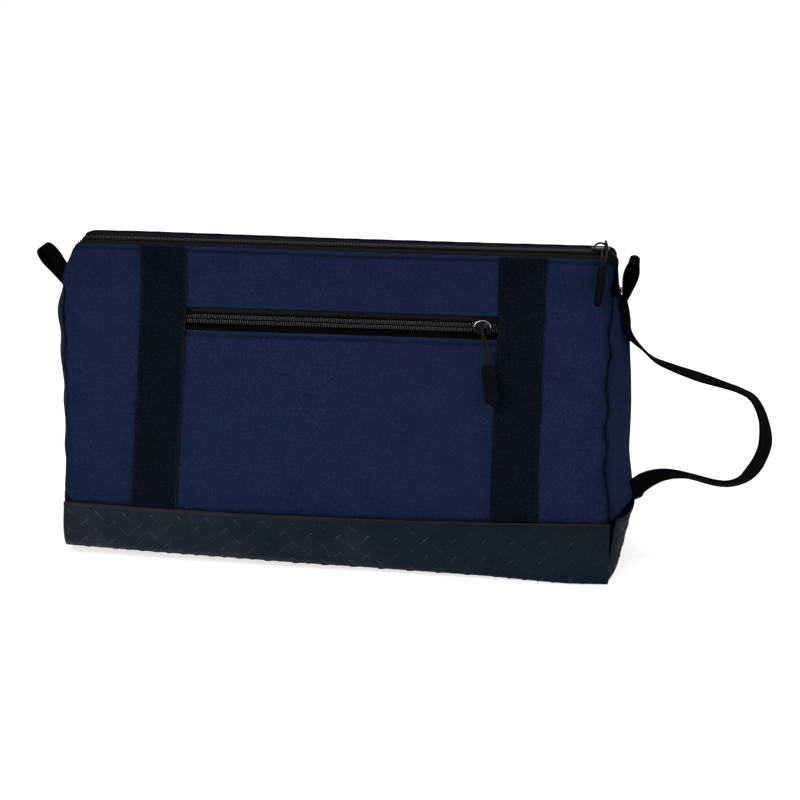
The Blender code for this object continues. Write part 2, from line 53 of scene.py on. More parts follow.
scene = bpy.context.scene

# Sizes of the bag
HALF_LENGTH = 175 * MM
RIDGE_WIDTH = 30 * MM
ZIP_END_HEIGHT = 171 * MM
HEM_HEIGHT = 196 * MM
BASE_HEIGHT = 36 * MM
PANEL_FOOT = 28 * MM
PANEL_BULGE = 10 * MM
END_BULGE = 11 * MM
RIDGE_CORNER = 9 * MM
CORNER_X = 165 * MM
CORNER_TURN = math.radians(68)
LEAN = math.atan(50 / 171)
PANEL_OUT = Vector((0.0, -math.cos(LEAN), math.sin(LEAN)))

CANVAS = 1.6 * MM
LEATHER = 1.4 * MM
WEBBING = 1.6 * MM
TAPE = 0.8 * MM
CLEAR = 0.3 * MM
TRIM_STACK = LEATHER + CLEAR

SEAM_X = 115 * MM
STRAP_WIDTH = 30 * MM
HANDLE_WIDTH = 25 * MM
TAB_WIDTH = 19 * MM
SELVEDGE = 1.1 * MM
SELVEDGE_FADE = 0.8 * MM
POCKET_SEAM = 6 * MM
BOARD = 3 * MM
BOARD_INSET = 3 * MM
BOARD_HALF = 168 * MM
BAG_MIDDLE = Vector((0.0, 0.0, 80 * MM))
SIDES = ((-1, "left"), (1, "right"))

# Zips
POCKET_ZIP_HEIGHT = 151 * MM
WINDOW_LOW = 144 * MM
WINDOW_HIGH = 158 * MM
TAPE_LAP = 5 * MM
TAPE_GAP = 0.4 * MM
TAPE_SAG = 2.2 * MM
TAPE_TOP = 198.7 * MM - TAPE_SAG
COIL_HEIGHT = 1.6 * MM
TOOTH_PITCH = 1.45 * MM
TOOTH_LENGTH = 2.5 * MM
TOOTH_OFFSET = 1.55 * MM
TOOTH_LEAN = math.radians(14)
POCKET_TOOTH = 0.48 * MM
RIDGE_TOOTH = 0.62 * MM
CHAIN_HALF = 103.5 * MM
CHAIN_INSET = 4 * MM

# Sliders and pulls
METAL_ROUND = 0.28 * MM
BAR_HEIGHT = 6.5 * MM
CORD_DIAMETER = 1.6 * MM
CORD_WRAP = 2.1 * MM
CORD_SPREAD = 1.1 * MM
MAIN_CORD_X = 165.5 * MM
MAIN_BEND = 19 * MM
POCKET_BAR = (90.5 * MM, -25.263 * MM, 152.291 * MM)
GRIP_WIDTH = 9 * MM
GRIP_LENGTH = 26 * MM
GRIP_THICKNESS = 4 * MM

# Stitches, and the bars of the tread
STITCH_PITCH = 3.1 * MM
STITCH_SINK = 0.05 * MM
STITCH_SIZE = (2.3 * MM, 0.55 * MM, 0.5 * MM)
HEM_STITCH = 3.2 * MM
TRIM_STITCH = 3.4 * MM
TREAD_RISE = 0.45 * MM
TREAD_PITCH = 18.4 * MM
TREAD_ROW = 5.65 * MM
TREAD_LENGTH = 7.4 * MM
TREAD_WIDTH = 1.5 * MM
TREAD_SLANT = math.radians(38)


# Looks
def add_node(tree, kind, inputs=None, **settings):
    made = tree.nodes.new(kind)
    for key, value in settings.items():
        setattr(made, key, value)
    for key, value in (inputs or {}).items():
        if isinstance(value, bpy.types.NodeSocket):
            tree.links.new(value, made.inputs[key])
        else:
            made.inputs[key].default_value = value
    return made


def maths(tree, operation, first, second=0.0):
    return add_node(tree, "ShaderNodeMath", {0: first, 1: second}, operation=operation).outputs[0]


def speckle(tree, place, scale, detail):
    noisy = add_node(tree, "ShaderNodeTexNoise", {"Vector": place, "Scale": scale, "Detail": detail})
    return noisy.outputs[0]


def ramp(tree, value, low, high, start, end):
    """A number from start to end as the value goes from low to high."""
    numbers = {0: value, 1: low, 2: high, 3: start, 4: end}
    return add_node(tree, "ShaderNodeMapRange", numbers).outputs[0]


def tinted(tree, color, shade):
    return add_node(tree, "ShaderNodeVectorMath", {0: color, 1: shade}, operation="MULTIPLY").outputs[0]


def object_place(tree):
    return add_node(tree, "ShaderNodeTexCoord").outputs["Object"]


def part_of(tree, place, axis):
    return add_node(tree, "ShaderNodeSeparateXYZ", {0: place}).outputs[axis]


def free_of_painted_shade(tree):
    """How far a piece is free of its painted shade, from its attribute of painted shade."""
    painted_shade = add_node(tree, "ShaderNodeAttribute", attribute_name="painted_shade").outputs["Fac"]
    return maths(tree, "SUBTRACT", 1.0, painted_shade)


def new_group(name, inputs, outputs):
    """A shader group with the sockets named: its tree, its input sockets and its output node."""
    tree = bpy.data.node_groups.new(name, "ShaderNodeTree")
    for socket, kind in inputs:
        tree.interface.new_socket(socket, in_out="INPUT", socket_type=kind)
    for socket, kind in outputs:
        tree.interface.new_socket(socket, in_out="OUTPUT", socket_type=kind)
    return tree, tree.nodes.new("NodeGroupInput").outputs, tree.nodes.new("NodeGroupOutput")


def weave_group():
    """Threads crossing over and under each other: their height, and their uneven tone with painted
    shade in their hollows.
    """
    number = "NodeSocketFloat"
    tree, given, result = new_group(
        "weave", [("Place", "NodeSocketVector"), ("Pitch", number), ("Unevenness", number)],
        [("Height", number), ("Shade", number)])
    place, pitch = given["Place"], given["Pitch"]
    calc = partial(maths, tree)
    across, along = (calc("DIVIDE", part_of(tree, place, axis), pitch) for axis in (0, 1))
    warp, weft = (calc("ABSOLUTE", calc("SINE", calc("MULTIPLY", threads, math.pi)))
                  for threads in (across, along))
    over = calc("FLOORED_MODULO", calc("ADD", calc("FLOOR", across), calc("FLOOR", along)), 2.0)
    height = add_node(tree, "ShaderNodeMix", {"Factor": over, "A": warp, "B": weft}).outputs[0]
    fine = calc("MULTIPLY", calc("SUBTRACT", speckle(tree, place, 560.0, 3.0), 0.5), 1.1)
    broad = calc("MULTIPLY", calc("SUBTRACT", speckle(tree, place, 55.0, 4.0), 0.5), 0.35)
    uneven = calc("MULTIPLY", calc("ADD", fine, broad), given["Unevenness"])
    # Painted shade in the hollows between the threads, and painted light on their tops.
    hollow_shade = calc("MULTIPLY", calc("SUBTRACT", height, 0.6), 0.25)
    shade = calc("ADD", calc("ADD", uneven, hollow_shade), 1.0)
    tree.links.new(height, result.inputs["Height"])
    tree.links.new(shade, result.inputs["Shade"])
    return tree


def grain_group():
    """The pebbled skin of imitation leather."""
    tree, given, result = new_group(
        "grain", [("Place", "NodeSocketVector")], [("Height", "NodeSocketFloat")])
    pebble = add_node(tree, "ShaderNodeTexVoronoi", {"Vector": given["Place"], "Scale": 900.0})
    uneven = speckle(tree, given["Place"], 160.0, 5.0)
    tree.links.new(maths(tree, "ADD", pebble.outputs[0], uneven), result.inputs["Height"])
    return tree


WEAVE = weave_group()
GRAIN = grain_group()


def new_look(name, color, roughness, **sockets):
    look = bpy.data.materials.new(name)
    look.use_nodes = True
    shader = look.node_tree.nodes["Principled BSDF"]
    shader.inputs["Base Color"].default_value = (*color, 1.0)
    shader.inputs["Roughness"].default_value = roughness
    for key, value in sockets.items():
        shader.inputs[key.replace("_", " ")].default_value = value
    return look, look.node_tree, shader


def bump(tree, shader, height, distance, strength=1.0):
    heights = {"Height": height, "Distance": distance, "Strength": strength}
    tree.links.new(add_node(tree, "ShaderNodeBump", heights).outputs[0], shader.inputs["Normal"])


def woven_look(name, color, pitch, depth, unevenness, roughness=0.9, edge=None, shine=0.02):
    """Cloth whose weave follows its UV map, in metres.

    edge is the half width and the colour of a worn selvedge."""
    look, tree, shader = new_look(name, color, roughness, Specular_IOR_Level=shine)
    place = add_node(tree, "ShaderNodeUVMap").outputs[0]
    weave = add_node(tree, "ShaderNodeGroup", node_tree=WEAVE)
    tree.links.new(place, weave.inputs["Place"])
    weave.inputs["Pitch"].default_value = pitch
    weave.inputs["Unevenness"].default_value = unevenness
    ground = color
    if edge:
        half_width, edge_color = edge
        outer = maths(tree, "ABSOLUTE", part_of(tree, place, 0))
        beyond = maths(tree, "SUBTRACT", outer, half_width - SELVEDGE)
        wear_and_sheen = add_node(tree, "ShaderNodeMath", {0: beyond, 1: 1 / SELVEDGE_FADE},
                        operation="MULTIPLY", use_clamp=True).outputs[0]
        colors = {"Factor": wear_and_sheen, "A": (*color, 1.0), "B": (*edge_color, 1.0)}
        ground = add_node(tree, "ShaderNodeMix", colors, data_type="RGBA").outputs[2]
    shade = maths(tree, "MULTIPLY", weave.outputs["Shade"], free_of_painted_shade(tree))
    tree.links.new(tinted(tree, ground, shade), shader.inputs["Base Color"])
    bump(tree, shader, weave.outputs["Height"], depth)
    return look


NAVY = woven_look("navy_canvas", (0.0074, 0.0134, 0.0385), 0.75 * MM, 0.20 * MM, 1.1)
STRAP_LOOK = woven_look("black_webbing", (0.0021, 0.0035, 0.0078), 1.3 * MM, 0.40 * MM, 1.8,
                        edge=(STRAP_WIDTH / 2, (0.010, 0.008, 0.009)))
HANDLE_LOOK = woven_look("handle_webbing", (0.0011, 0.0012, 0.0020), 1.2 * MM, 0.30 * MM, 0.4,
                         shine=0.006)
# Lit and shaded copies of the pocket zip's tape: painted light for the upper tape, painted shade for
# the lower.
TAPE_PAINTED_LIT = woven_look("zip_tape", (0.0120, 0.0112, 0.0118), 0.7 * MM, 0.15 * MM, 0.4)
TAPE_SHADED = woven_look("zip_tape_shaded", (0.0022, 0.0022, 0.0030), 0.7 * MM, 0.15 * MM, 0.4)
RIDGE_TAPE = woven_look("ridge_tape", (0.0058, 0.0058, 0.0070), 0.7 * MM, 0.15 * MM, 0.8)
LINING = woven_look("inner_cloth", (0.02, 0.02, 0.022), 0.5 * MM, 0.1 * MM, 0.3)
LEATHER_COLOR = (0.0026, 0.0058, 0.0122)


def leather_look(name, gloss, shine, wear_and_sheen=0.15, under=0.03, painted_fold_shade=False):
    """Imitation leather whose lacquer thins to a share at the handle end: a painted falloff of its
    sheen.

    under is the shine below the lacquer. Where the last argument is true, painted shade darkens its
    colour and thins its coat, as its attribute of painted shade gives."""
    look, tree, shader = new_look(name, LEATHER_COLOR, gloss, Specular_IOR_Level=under,
                                  Coat_Roughness=gloss)
    place = object_place(tree)
    grain = add_node(tree, "ShaderNodeGroup", node_tree=GRAIN)
    tree.links.new(place, grain.inputs["Place"])
    # Painted falloff of the sheen towards the handle end; the scuffs below vary at random.
    lacquer = ramp(tree, part_of(tree, place, 0), -HALF_LENGTH, HALF_LENGTH, shine, shine * wear_and_sheen)
    scuff = speckle(tree, place, 40.0, 6.0)
    coat = maths(tree, "MULTIPLY", lacquer, ramp(tree, scuff, 0.3, 0.7, 0.45, 1.6))
    # Painted shade in the folds: darker colour and less coat.
    if painted_fold_shade:
        unshaded_share = free_of_painted_shade(tree)
        coat = maths(tree, "MULTIPLY", coat, unshaded_share)
        tree.links.new(tinted(tree, LEATHER_COLOR, unshaded_share), shader.inputs["Base Color"])
    tree.links.new(coat, shader.inputs["Coat Weight"])
    dull = ramp(tree, scuff, 0.3, 0.7, gloss * 0.8, gloss * 1.3)
    tree.links.new(dull, shader.inputs["Roughness"])
    bump(tree, shader, grain.outputs[0], 0.12 * MM, 0.6)
    return look


def plain_look(name, color, roughness, scale, depth, **sockets):
    """A smooth material with a slightly uneven finish."""
    look, tree, shader = new_look(name, color, roughness, **sockets)
    uneven = speckle(tree, object_place(tree), scale, 4.0)
    dull = ramp(tree, uneven, 0.3, 0.7, roughness * 0.8, roughness * 1.25)
    tree.links.new(dull, shader.inputs["Roughness"])
    bump(tree, shader, uneven, depth)
    return look


def dull_look(name, color, roughness, scale, depth, shine):
    return plain_look(name, color, roughness, scale, depth, Specular_IOR_Level=shine)


def metal_look(name, color, roughness):
    return plain_look(name, color, roughness, 900.0, 0.01 * MM, Metallic=1.0)


def ridge_look(color):
    """The coil of the ridge, with painted shade where the zip turns down at the ends of the bag."""
    look = dull_look("ridge_coil", color, 0.45, 2500.0, 0.02 * MM, 0.06)
    tree = look.node_tree
    far = maths(tree, "ABSOLUTE", part_of(tree, object_place(tree), 0))
    shade = ramp(tree, far, CORNER_X - 6 * MM, CORNER_X + 5 * MM, 1.0, 0.2)
    tree.links.new(tinted(tree, color, shade), tree.nodes["Principled BSDF"].inputs["Base Color"])
    return look


LEATHER_LOOK = leather_look("embossed_base", 0.42, 0.22)
# The ends carry painted shade in the fold beside each corner seam.
END_LOOK = leather_look("embossed_base_end", 0.42, 0.16, wear_and_sheen=1.0, under=0.0, painted_fold_shade=True)
TREAD_LOOK = leather_look("tread_rubbed_bright", 0.26, 0.5)
NYLON = dull_look("zip_coil", (0.005, 0.005, 0.007), 0.22, 2500.0, 0.02 * MM, 0.9)
RIDGE_NYLON = ridge_look((0.027, 0.027, 0.030))
METAL = metal_look("slider_metal", (0.012, 0.012, 0.014), 0.22)
# A brighter copy of the slider metal, for the painted highlight on the pocket slider's rim.
RIM_HIGHLIGHT_METAL = metal_look("slider_rim_painted_highlight", (0.42, 0.42, 0.45), 0.18)
RAW_EDGE = dull_look("raw_edge", (0.013, 0.0095, 0.0115), 0.85, 1800.0, 0.05 * MM, 0.05)
RUBBER = dull_look("pull_grip", (0.0016, 0.0024, 0.0036), 0.5, 1500.0, 0.03 * MM, 0.012)
THREAD = dull_look("sewing_thread", (0.0036, 0.0060, 0.0150), 0.65, 3000.0, 0.03 * MM, 0.05)
STIFFENER = plain_look("base_board", (0.05, 0.05, 0.05), 0.6, 300.0, 0.05 * MM)


def cord_look():
    """A braided cord: strands that wind both ways round it."""
    look, tree, shader = new_look("pull_cord", (0.0060, 0.0065, 0.0080), 0.65, Specular_IOR_Level=0.1)
    place = add_node(tree, "ShaderNodeUVMap").outputs[0]
    slant = (0.0, 0.0, math.radians(45))
    slanted = add_node(tree, "ShaderNodeMapping", {"Vector": place, "Rotation": slant})
    weave = add_node(tree, "ShaderNodeGroup", node_tree=WEAVE)
    tree.links.new(slanted.outputs[0], weave.inputs["Place"])
    weave.inputs["Pitch"].default_value = 0.6 * MM
    bump(tree, shader, weave.outputs["Height"], 0.25 * MM)
    return look


BRAID = cord_look()


# The form of the bag
def ease(value, low, high):
    share = min(max((value - low) / (high - low), 0.0), 1.0)
    return share * share * (3 - 2 * share)


def mix(start, end, share):
    return start + (end - start) * share


def hump(value, center, width):
    return math.exp(-((value - center) / width) ** 2)


def seam_depth(z):
    return RIDGE_WIDTH / 2 + max(ZIP_END_HEIGHT - z, 0.0) * math.tan(LEAN)


def inner_half(z):
    """Half the width at a height between the insides of the front and the back."""
    return seam_depth(z) - CANVAS / math.cos(LEAN) - CLEAR


def front_depth(x, z):
    across = 1 - (x / HALF_LENGTH) ** 2
    return seam_depth(z) + PANEL_BULGE * across * (1 - ease(z / ZIP_END_HEIGHT, 0.25, 0.82))


def end_reach(y, z, side):
    """How far an end of the bag stands out: full under the left tab, and over the base at the right."""
    across = max(1 - (y / seam_depth(z)) ** 2, 0.0)
    fullness = math.sin(math.pi * min(max(z / ZIP_END_HEIGHT, 0.0), 1.0)) ** 0.35
    if side < 0:
        swell = 2.6 * MM * hump(z, 150 * MM, 13 * MM)
    else:
        swell = 3.6 * MM * (1 - ease(z, BASE_HEIGHT, 70 * MM))
    tuck = 2.5 * MM * (1 - ease(z, PANEL_FOOT, BASE_HEIGHT + MM))
    return HALF_LENGTH + (END_BULGE * fullness + swell - tuck) * across


LEAN_HEIGHTS = [height * MM for height in (36, 45, 60, 86, 112, 127, 140, 158, 171, 180, 190, 196)]
LEAN_OUT = [out * MM for out in (0, 1, 0.3, 1.2, 3, 4.5, 5, 6.2, 8.0, 5.8, 2.2, 1.3)]


def settle(spot):
    """The slump of the soft body.

    Its left end leans out, its ridge rises and its right front seam is drawn in."""
    x, y, z = spot
    left = ease(-x, 130 * MM, HALF_LENGTH)
    right = ease(x, 110 * MM, HALF_LENGTH)
    fore = min(max(-y / seam_depth(z), 0.0), 1.0)
    drawn = ease(z, 30 * MM, 80 * MM) * (1 - ease(z, 165 * MM, 190 * MM)) * fore * right
    wander = math.sin(z / (4.5 * MM) + 2 * rough(0.0, z, 30 * MM, 41)) * ease(z, BASE_HEIGHT, 60 * MM)
    lean = left * float(np.interp(z, LEAN_HEIGHTS, LEAN_OUT)) + 4.5 * MM * drawn
    lean += MM * wander * (0.5 * left + drawn)
    zip_end = ease(x, 166 * MM, 174 * MM) * ease(z, 170 * MM, 178 * MM)
    lean += 1.5 * MM * zip_end * (1 - ease(z, 186 * MM, HEM_HEIGHT))
    beside_zip = ease(abs(y), 3 * MM, 9 * MM)
    lift = 1.2 * MM * ease(-x, -40 * MM, 150 * MM) * ease(z, 168 * MM, 192 * MM) * beside_zip
    lift += 2.2 * MM * ease(y, 3 * MM, RIDGE_WIDTH / 2) * ease(z, 150 * MM, 190 * MM)
    return Vector((x - lean, y, z + lift))


def ridge_path(top, foot, corner_steps=8, top_steps=40):
    """Places along the zip, from the left end over the ridge to the right.

    Each is x, z and the direction out of the bag along X and Z."""
    right = [(CORNER_X * step / top_steps, top, 0.0, 1.0) for step in range(top_steps + 1)]
    for step in range(1, corner_steps + 1):
        turn = CORNER_TURN * step / corner_steps
        out = (math.sin(turn), math.cos(turn))
        right.append((CORNER_X + RIDGE_CORNER * out[0], top - RIDGE_CORNER * (1 - out[1]), *out))
    x, z = right[-1][:2]
    run = Vector((HALF_LENGTH - x, ZIP_END_HEIGHT - z))
    out = (-run.y / run.length, run.x / run.length)
    for step in range(1, corner_steps + 1):
        share = (foot - z) / run.y * step / corner_steps
        right.append((x + run.x * share, z + run.y * share, *out))
    left = [(-px, pz, -nx, nz) for px, pz, nx, nz in reversed(right[1:])]
    return left + right


RIDGE_OUTLINE = [
    (x, z) for x, z, _, _ in ridge_path(HEM_HEIGHT, ZIP_END_HEIGHT) if x > CORNER_X - CLEAR][::-1]


def panel_edge(z):
    """Where a front or back panel ends along X at a height."""
    edges, heights = zip(*RIDGE_OUTLINE)
    return float(np.interp(z, heights, edges))


def left_edge(z):
    return -panel_edge(z)


def rough(x, z, size, seed):
    return noise.noise(Vector((x / size, z / size, seed)))


def near(distance, reach):
    return math.exp(-abs(distance) / reach)


def hem_form(distance):
    """The swell of a folded edge and the groove of its stitching, at a distance from the edge."""
    swell = 0.5 * MM * hump(distance, 1.3 * MM, 1.4 * MM)
    return swell - 0.35 * MM * hump(distance, HEM_STITCH, 0.6 * MM)


def base_hem(z):
    """The swell of the folded top edge of the base."""
    return 0.8 * MM * hump(BASE_HEIGHT - z, 1.4 * MM, 1.5 * MM)


def ripple(x, z, seed=0.0):
    """How the canvas stands off its smooth form: soft hollows, and puckers along the seams."""
    wander = 2.5 * rough(x, z, 30 * MM, seed + 7)
    soft = 1.5 * MM * rough(x, z, 70 * MM, seed) + 0.45 * MM * rough(x, z, 22 * MM, seed + 3)
    side = HALF_LENGTH - abs(x)
    side_pucker = 0.7 * MM * near(side, 9 * MM) * math.sin(z / (2.7 * MM) + wander)
    foot_pucker = 0.55 * MM * near(z - BASE_HEIGHT, 9 * MM) * math.sin(x / (3.3 * MM) + wander)
    hem_pucker = 0.3 * MM * near(z - HEM_HEIGHT, 7 * MM) * math.sin(x / (2.9 * MM) + wander)
    rolled = 2.4 * MM * max(1 - side / (5 * MM), 0.0) ** 2
    return soft + side_pucker + foot_pucker + hem_pucker - rolled + hem_form(HEM_HEIGHT - z)


def front(x, z):
    return settle(Vector((x, -front_depth(x, z) - ripple(x, z), z)))


def pocket_front(x, z):
    """The pocket panel, with the stitched edge under its zip."""
    spot = front(x, z)
    waves = math.sin(x / (3.6 * MM) + 2 * rough(x, z, 40 * MM, 5))
    waves *= 0.35 * MM * near(WINDOW_LOW - z, 6 * MM)
    return spot + PANEL_OUT * (hem_form(WINDOW_LOW - z) + waves)


def upper_front(x, z):
    return front(x, z) + PANEL_OUT * hem_form(z - WINDOW_HIGH)


def back(x, z):
    return settle(Vector((x, front_depth(x, z) + ripple(x, z, 20.0), z)))


def base_round(x):
    """How rounded the edge of the base's underside is along the bag."""
    return MM * float(np.interp(x / MM, (-175, -60, 20, 100, 150, 175), (28, 30, 27, 16, 4, 3)))


def base_lift(x):
    """How far the base's underside clears the floor, more at its left end."""
    return TREAD_RISE + 2.2 * MM * (1 - ease(x, -190 * MM, 40 * MM))


WALL_STEPS = 10
BEND_STEPS = 10
FLOOR_STEPS = 8


@lru_cache(maxsize=4000)
def base_section(x):
    """The outside of the base across the bag, from the front edge under the floor to the back edge."""
    lift = base_lift(x)
    start = min(lift + base_round(x), BASE_HEIGHT - MM)

    def wall(z):
        flare = 3 * MM * ease(x, 60 * MM, 160 * MM) * (1 - ease(z, 0.0, 28 * MM))
        return front_depth(x, z) + TRIM_STACK + base_hem(z) + flare

    half = [(wall(z), z) for z in np.linspace(BASE_HEIGHT, start, WALL_STEPS)]
    first = half[-1]
    bend = (wall(lift), lift)
    last = (bend[0] - base_round(x), lift)
    for step in range(1, BEND_STEPS + 1):
        share = step / BEND_STEPS
        half.append(tuple(
            mix(mix(a, b, share), mix(b, c, share), share) for a, b, c in zip(first, bend, last)))
    half += [(last[0] * (1 - step / FLOOR_STEPS), lift) for step in range(1, FLOOR_STEPS + 1)]
    return [(-y, z) for y, z in half] + half[-2::-1]


SECTION_STEPS = len(base_section(0.0)) - 1


def distances(spots):
    """How far along a line of spots each one is."""
    parts = np.linalg.norm(np.diff(spots, axis=0), axis=1)
    return np.concatenate(((0.0,), np.cumsum(parts)))


@lru_cache(maxsize=4000)
def base_lengths(x):
    """The places of a section, and how far round it each is."""
    spots = np.array(base_section(x))
    return spots, distances(spots)


def base_at(x, run):
    """A place on the base at a distance round its section from the front edge."""
    spots, lengths = base_lengths(round(x, 5))
    return Vector((x, *(float(np.interp(run, lengths, column)) for column in spots.T)))


# Modelling
def deselect():
    bpy.ops.object.select_all(action="DESELECT")


def select_only(piece):
    deselect()
    piece.select_set(True)
    bpy.context.view_layer.objects.active = piece


def apply_modifiers(piece):
    select_only(piece)
    for modifier in list(piece.modifiers):
        bpy.ops.object.modifier_apply(modifier=modifier.name)


def round_edges(piece, width, segments, angle=None):
    """Round the edges of a piece, where an angle in degrees is given only the sharper ones."""
    edge = piece.modifiers.new("round", "BEVEL")
    edge.width = width
    edge.segments = segments
    if angle:
        edge.limit_method = "ANGLE"
        edge.angle_limit = math.radians(angle)
    apply_modifiers(piece)


def finish(piece, look, body="bag", nodes=()):
    """Give a piece its look, the CAD nodes it stands for and the body it moves with."""
    piece.data.materials.clear()
    piece.data.materials.append(look)
    if nodes:
        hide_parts(*nodes)
    if body:
        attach(piece, body)
    return piece


EDGE_REACHES = [reach * MM for reach in (0.6, 1.3, 2.0, 2.6, 3.2, 3.8, 4.8)]
EDGE_MARGIN = 0.2 * MM
LEAST_STEP = 0.35 * MM


def steps(start, end, pitch, *edges):
    """Values from start to end at about the pitch, closer together beside the edges given."""
    count = max(int(round(abs(end - start) / pitch)), 2)
    values = list(np.linspace(start, end, count + 1))
    low, high = min(start, end), max(start, end)
    for edge in edges:
        for reach in EDGE_REACHES:
            for value in (edge - reach, edge + reach):
                if low + EDGE_MARGIN < value < high - EDGE_MARGIN:
                    values = [v for v in values if abs(v - value) > LEAST_STEP or v in (start, end)]
                    values.append(value)
    return sorted(values, reverse=end < start)


def cloth(name, place, across, along, thickness, soften=0.3 * MM, painted_shade=None):
    """Cloth on place(a, b) for the values across and along, thickened inwards, with UVs in metres.

    The last argument, a function of a and b, is how much painted shade darkens the cloth there, from 0
    to 1."""
    deselect()
    columns, rows = len(across) - 1, len(along) - 1
    bpy.ops.mesh.primitive_grid_add(x_subdivisions=columns, y_subdivisions=rows, size=2.0)
    piece = bpy.context.object
    piece.name = name
    mesh = piece.data
    picks = [(round((v.co.x + 1) / 2 * columns), round((v.co.y + 1) / 2 * rows))
             for v in mesh.vertices]
    spots = np.array([place(across[i], along[j]) for i, j in picks], float)
    mesh.vertices.foreach_set("co", spots.ravel())
    grid = np.zeros((columns + 1, rows + 1, 3))
    for (i, j), spot in zip(picks, spots):
        grid[i, j] = spot
    width, height = distances(grid[:, rows // 2]), distances(grid[columns // 2])
    layer = mesh.uv_layers.active.data
    for loop in mesh.loops:
        i, j = picks[loop.vertex_index]
        layer[loop.index].uv = (width[i] - width[-1] / 2, height[j])
    # Painted shade, kept per point for the look to darken the colour by.
    if painted_shade:
        shade = mesh.attributes.new("painted_shade", "FLOAT", "POINT")
        shade.data.foreach_set("value", [painted_shade(across[i], along[j]) for i, j in picks])
    mesh.update()
    solid = piece.modifiers.new("thickness", "SOLIDIFY")
    solid.thickness = thickness
    solid.offset = -1.0
    solid.use_even_offset = True
    apply_modifiers(piece)
    if soften:
        round_edges(piece, soften, 2, 60)
    bpy.ops.object.shade_smooth_by_angle(angle=math.radians(50))
    return piece


def copies(name, model, frames):
    """One piece made of a copy of the model's mesh at each frame; the model is then removed."""
    mesh = model.data
    count = len(mesh.vertices)
    spots = np.empty(count * 3)
    mesh.vertices.foreach_get("co", spots)
    spots = np.c_[spots.reshape(-1, 3), np.ones(count)]
    faces = [tuple(face.vertices) for face in mesh.polygons]
    all_spots = np.concatenate([(spots @ np.array(matrix).T)[:, :3] for matrix in frames])
    all_faces = [tuple(v + index * count for v in face)
                 for index in range(len(frames)) for face in faces]
    made = bpy.data.meshes.new(name)
    made.from_pydata(all_spots.tolist(), [], all_faces)
    made.polygons.foreach_set("use_smooth", [True] * len(all_faces))
    piece = bpy.data.objects.new(name, made)
    scene.collection.objects.link(piece)
    bpy.data.objects.remove(model)
    return piece


def axes(spot, forward, out):
    """A frame at a spot, X along forward and Z outwards."""
    forward = forward.normalized()
    side = out.cross(forward).normalized()
    up = forward.cross(side)
    return Matrix((
        (forward.x, side.x, up.x, spot.x), (forward.y, side.y, up.y, spot.y),
        (forward.z, side.z, up.z, spot.z), (0.0, 0.0, 0.0, 1.0)))


def facing(surface, a, b, middle):
    """A spot on surface(a, b), the direction of a there and the normal away from the middle."""
    spot = surface(a, b)
    along = surface(a + MM / 2, b) - spot
    out = along.cross(surface(a, b + MM / 2) - spot).normalized()
    return spot, along, -out if out.dot(spot - middle) < 0 else out


def surface_frames(surface, path, pitch, sink):
    """Frames at a pitch along a path of (a, b) values on surface(a, b), facing out of the bag."""
    fine = []
    for start, end in zip(path, path[1:]):
        parts = max(int(math.dist(start, end) / MM), 2)
        fine += [tuple(mix(p, q, k / parts) for p, q in zip(start, end)) for k in range(parts)]
    fine.append(path[-1])
    runs = distances(np.array([surface(*pair) for pair in fine]))

    def pair_at(run):
        return [float(np.interp(run, runs, values)) for values in zip(*fine)]

    frames = []
    for run in np.arange(pitch / 2, runs[-1], pitch):
        spot, _, out = facing(surface, *pair_at(run), BAG_MIDDLE)
        forward = surface(*pair_at(run + MM / 2)) - surface(*pair_at(run - MM / 2))
        frames.append(axes(spot - out * sink, forward, out))
    return frames


def block(size, middle):
    """A cuboid of the size given, about its middle."""
    deselect()
    bpy.ops.mesh.primitive_cube_add(size=1.0, location=middle)
    made = bpy.context.object
    made.scale = size
    bpy.ops.object.transform_apply(location=True, rotation=False, scale=True)
    return made


def bead_model(segments, rings, length, width, height):
    """A long low bead along X: a stitch, or a bar of the tread."""
    deselect()
    bpy.ops.mesh.primitive_uv_sphere_add(
        segments=segments, ring_count=rings, radius=1.0, rotation=(0.0, math.pi / 2, 0.0))
    model = bpy.context.object
    model.scale = (height / 2, width / 2, length / 2)
    bpy.ops.object.transform_apply(location=False, rotation=True, scale=True)
    return model


stitch_lines = []


def stitch_along(surface, *path):
    """Sew a row of stitches on surface(a, b), along a path of (a, b) values."""
    stitch_lines.extend(surface_frames(surface, path, STITCH_PITCH, STITCH_SINK))


# Canvas
CANVAS_ROW = 3.2 * MM
full_rows = steps(PANEL_FOOT, HEM_HEIGHT, CANVAS_ROW, HEM_HEIGHT, BASE_HEIGHT)
middle_columns = steps(-SEAM_X, SEAM_X, 3 * MM)


def canvas(name, place, across, along, node, painted_shade):
    finish(cloth(f"{name}_canvas", place, across, along, CANVAS, painted_shade=painted_shade),
           NAVY, nodes=[node])


def between(left, right, surface):
    """A surface on shares across from the edge left(z) to the edge right(z)."""
    return lambda share, z: surface(mix(left(z), right(z), share), z)


def edge_shares(count, fine_left, fine_right):
    """Shares from 0 to 1, closer together at the sides asked for."""
    shares = np.linspace(0, 1, count)
    extra = [0.012, 0.03, 0.05]
    if fine_left:
        shares = np.concatenate((shares, extra))
    if fine_right:
        shares = np.concatenate((shares, 1 - np.array(extra)))
    return np.unique(np.round(shares, 4)).tolist()


def fixed(x):
    return lambda z: x


def hem_shade(z, edge):
    """Painted shade in the groove of a row of stitches, along the hem at the height of the edge."""
    return 0.42 * hump(abs(z - edge), HEM_STITCH, 0.9 * MM)


def foot_shade(z):
    """The shaded line where the canvas goes in behind the base."""
    return 0.7 * near(z - BASE_HEIGHT, 1.2 * MM) + 0.15 * near(z - BASE_HEIGHT, 5 * MM)


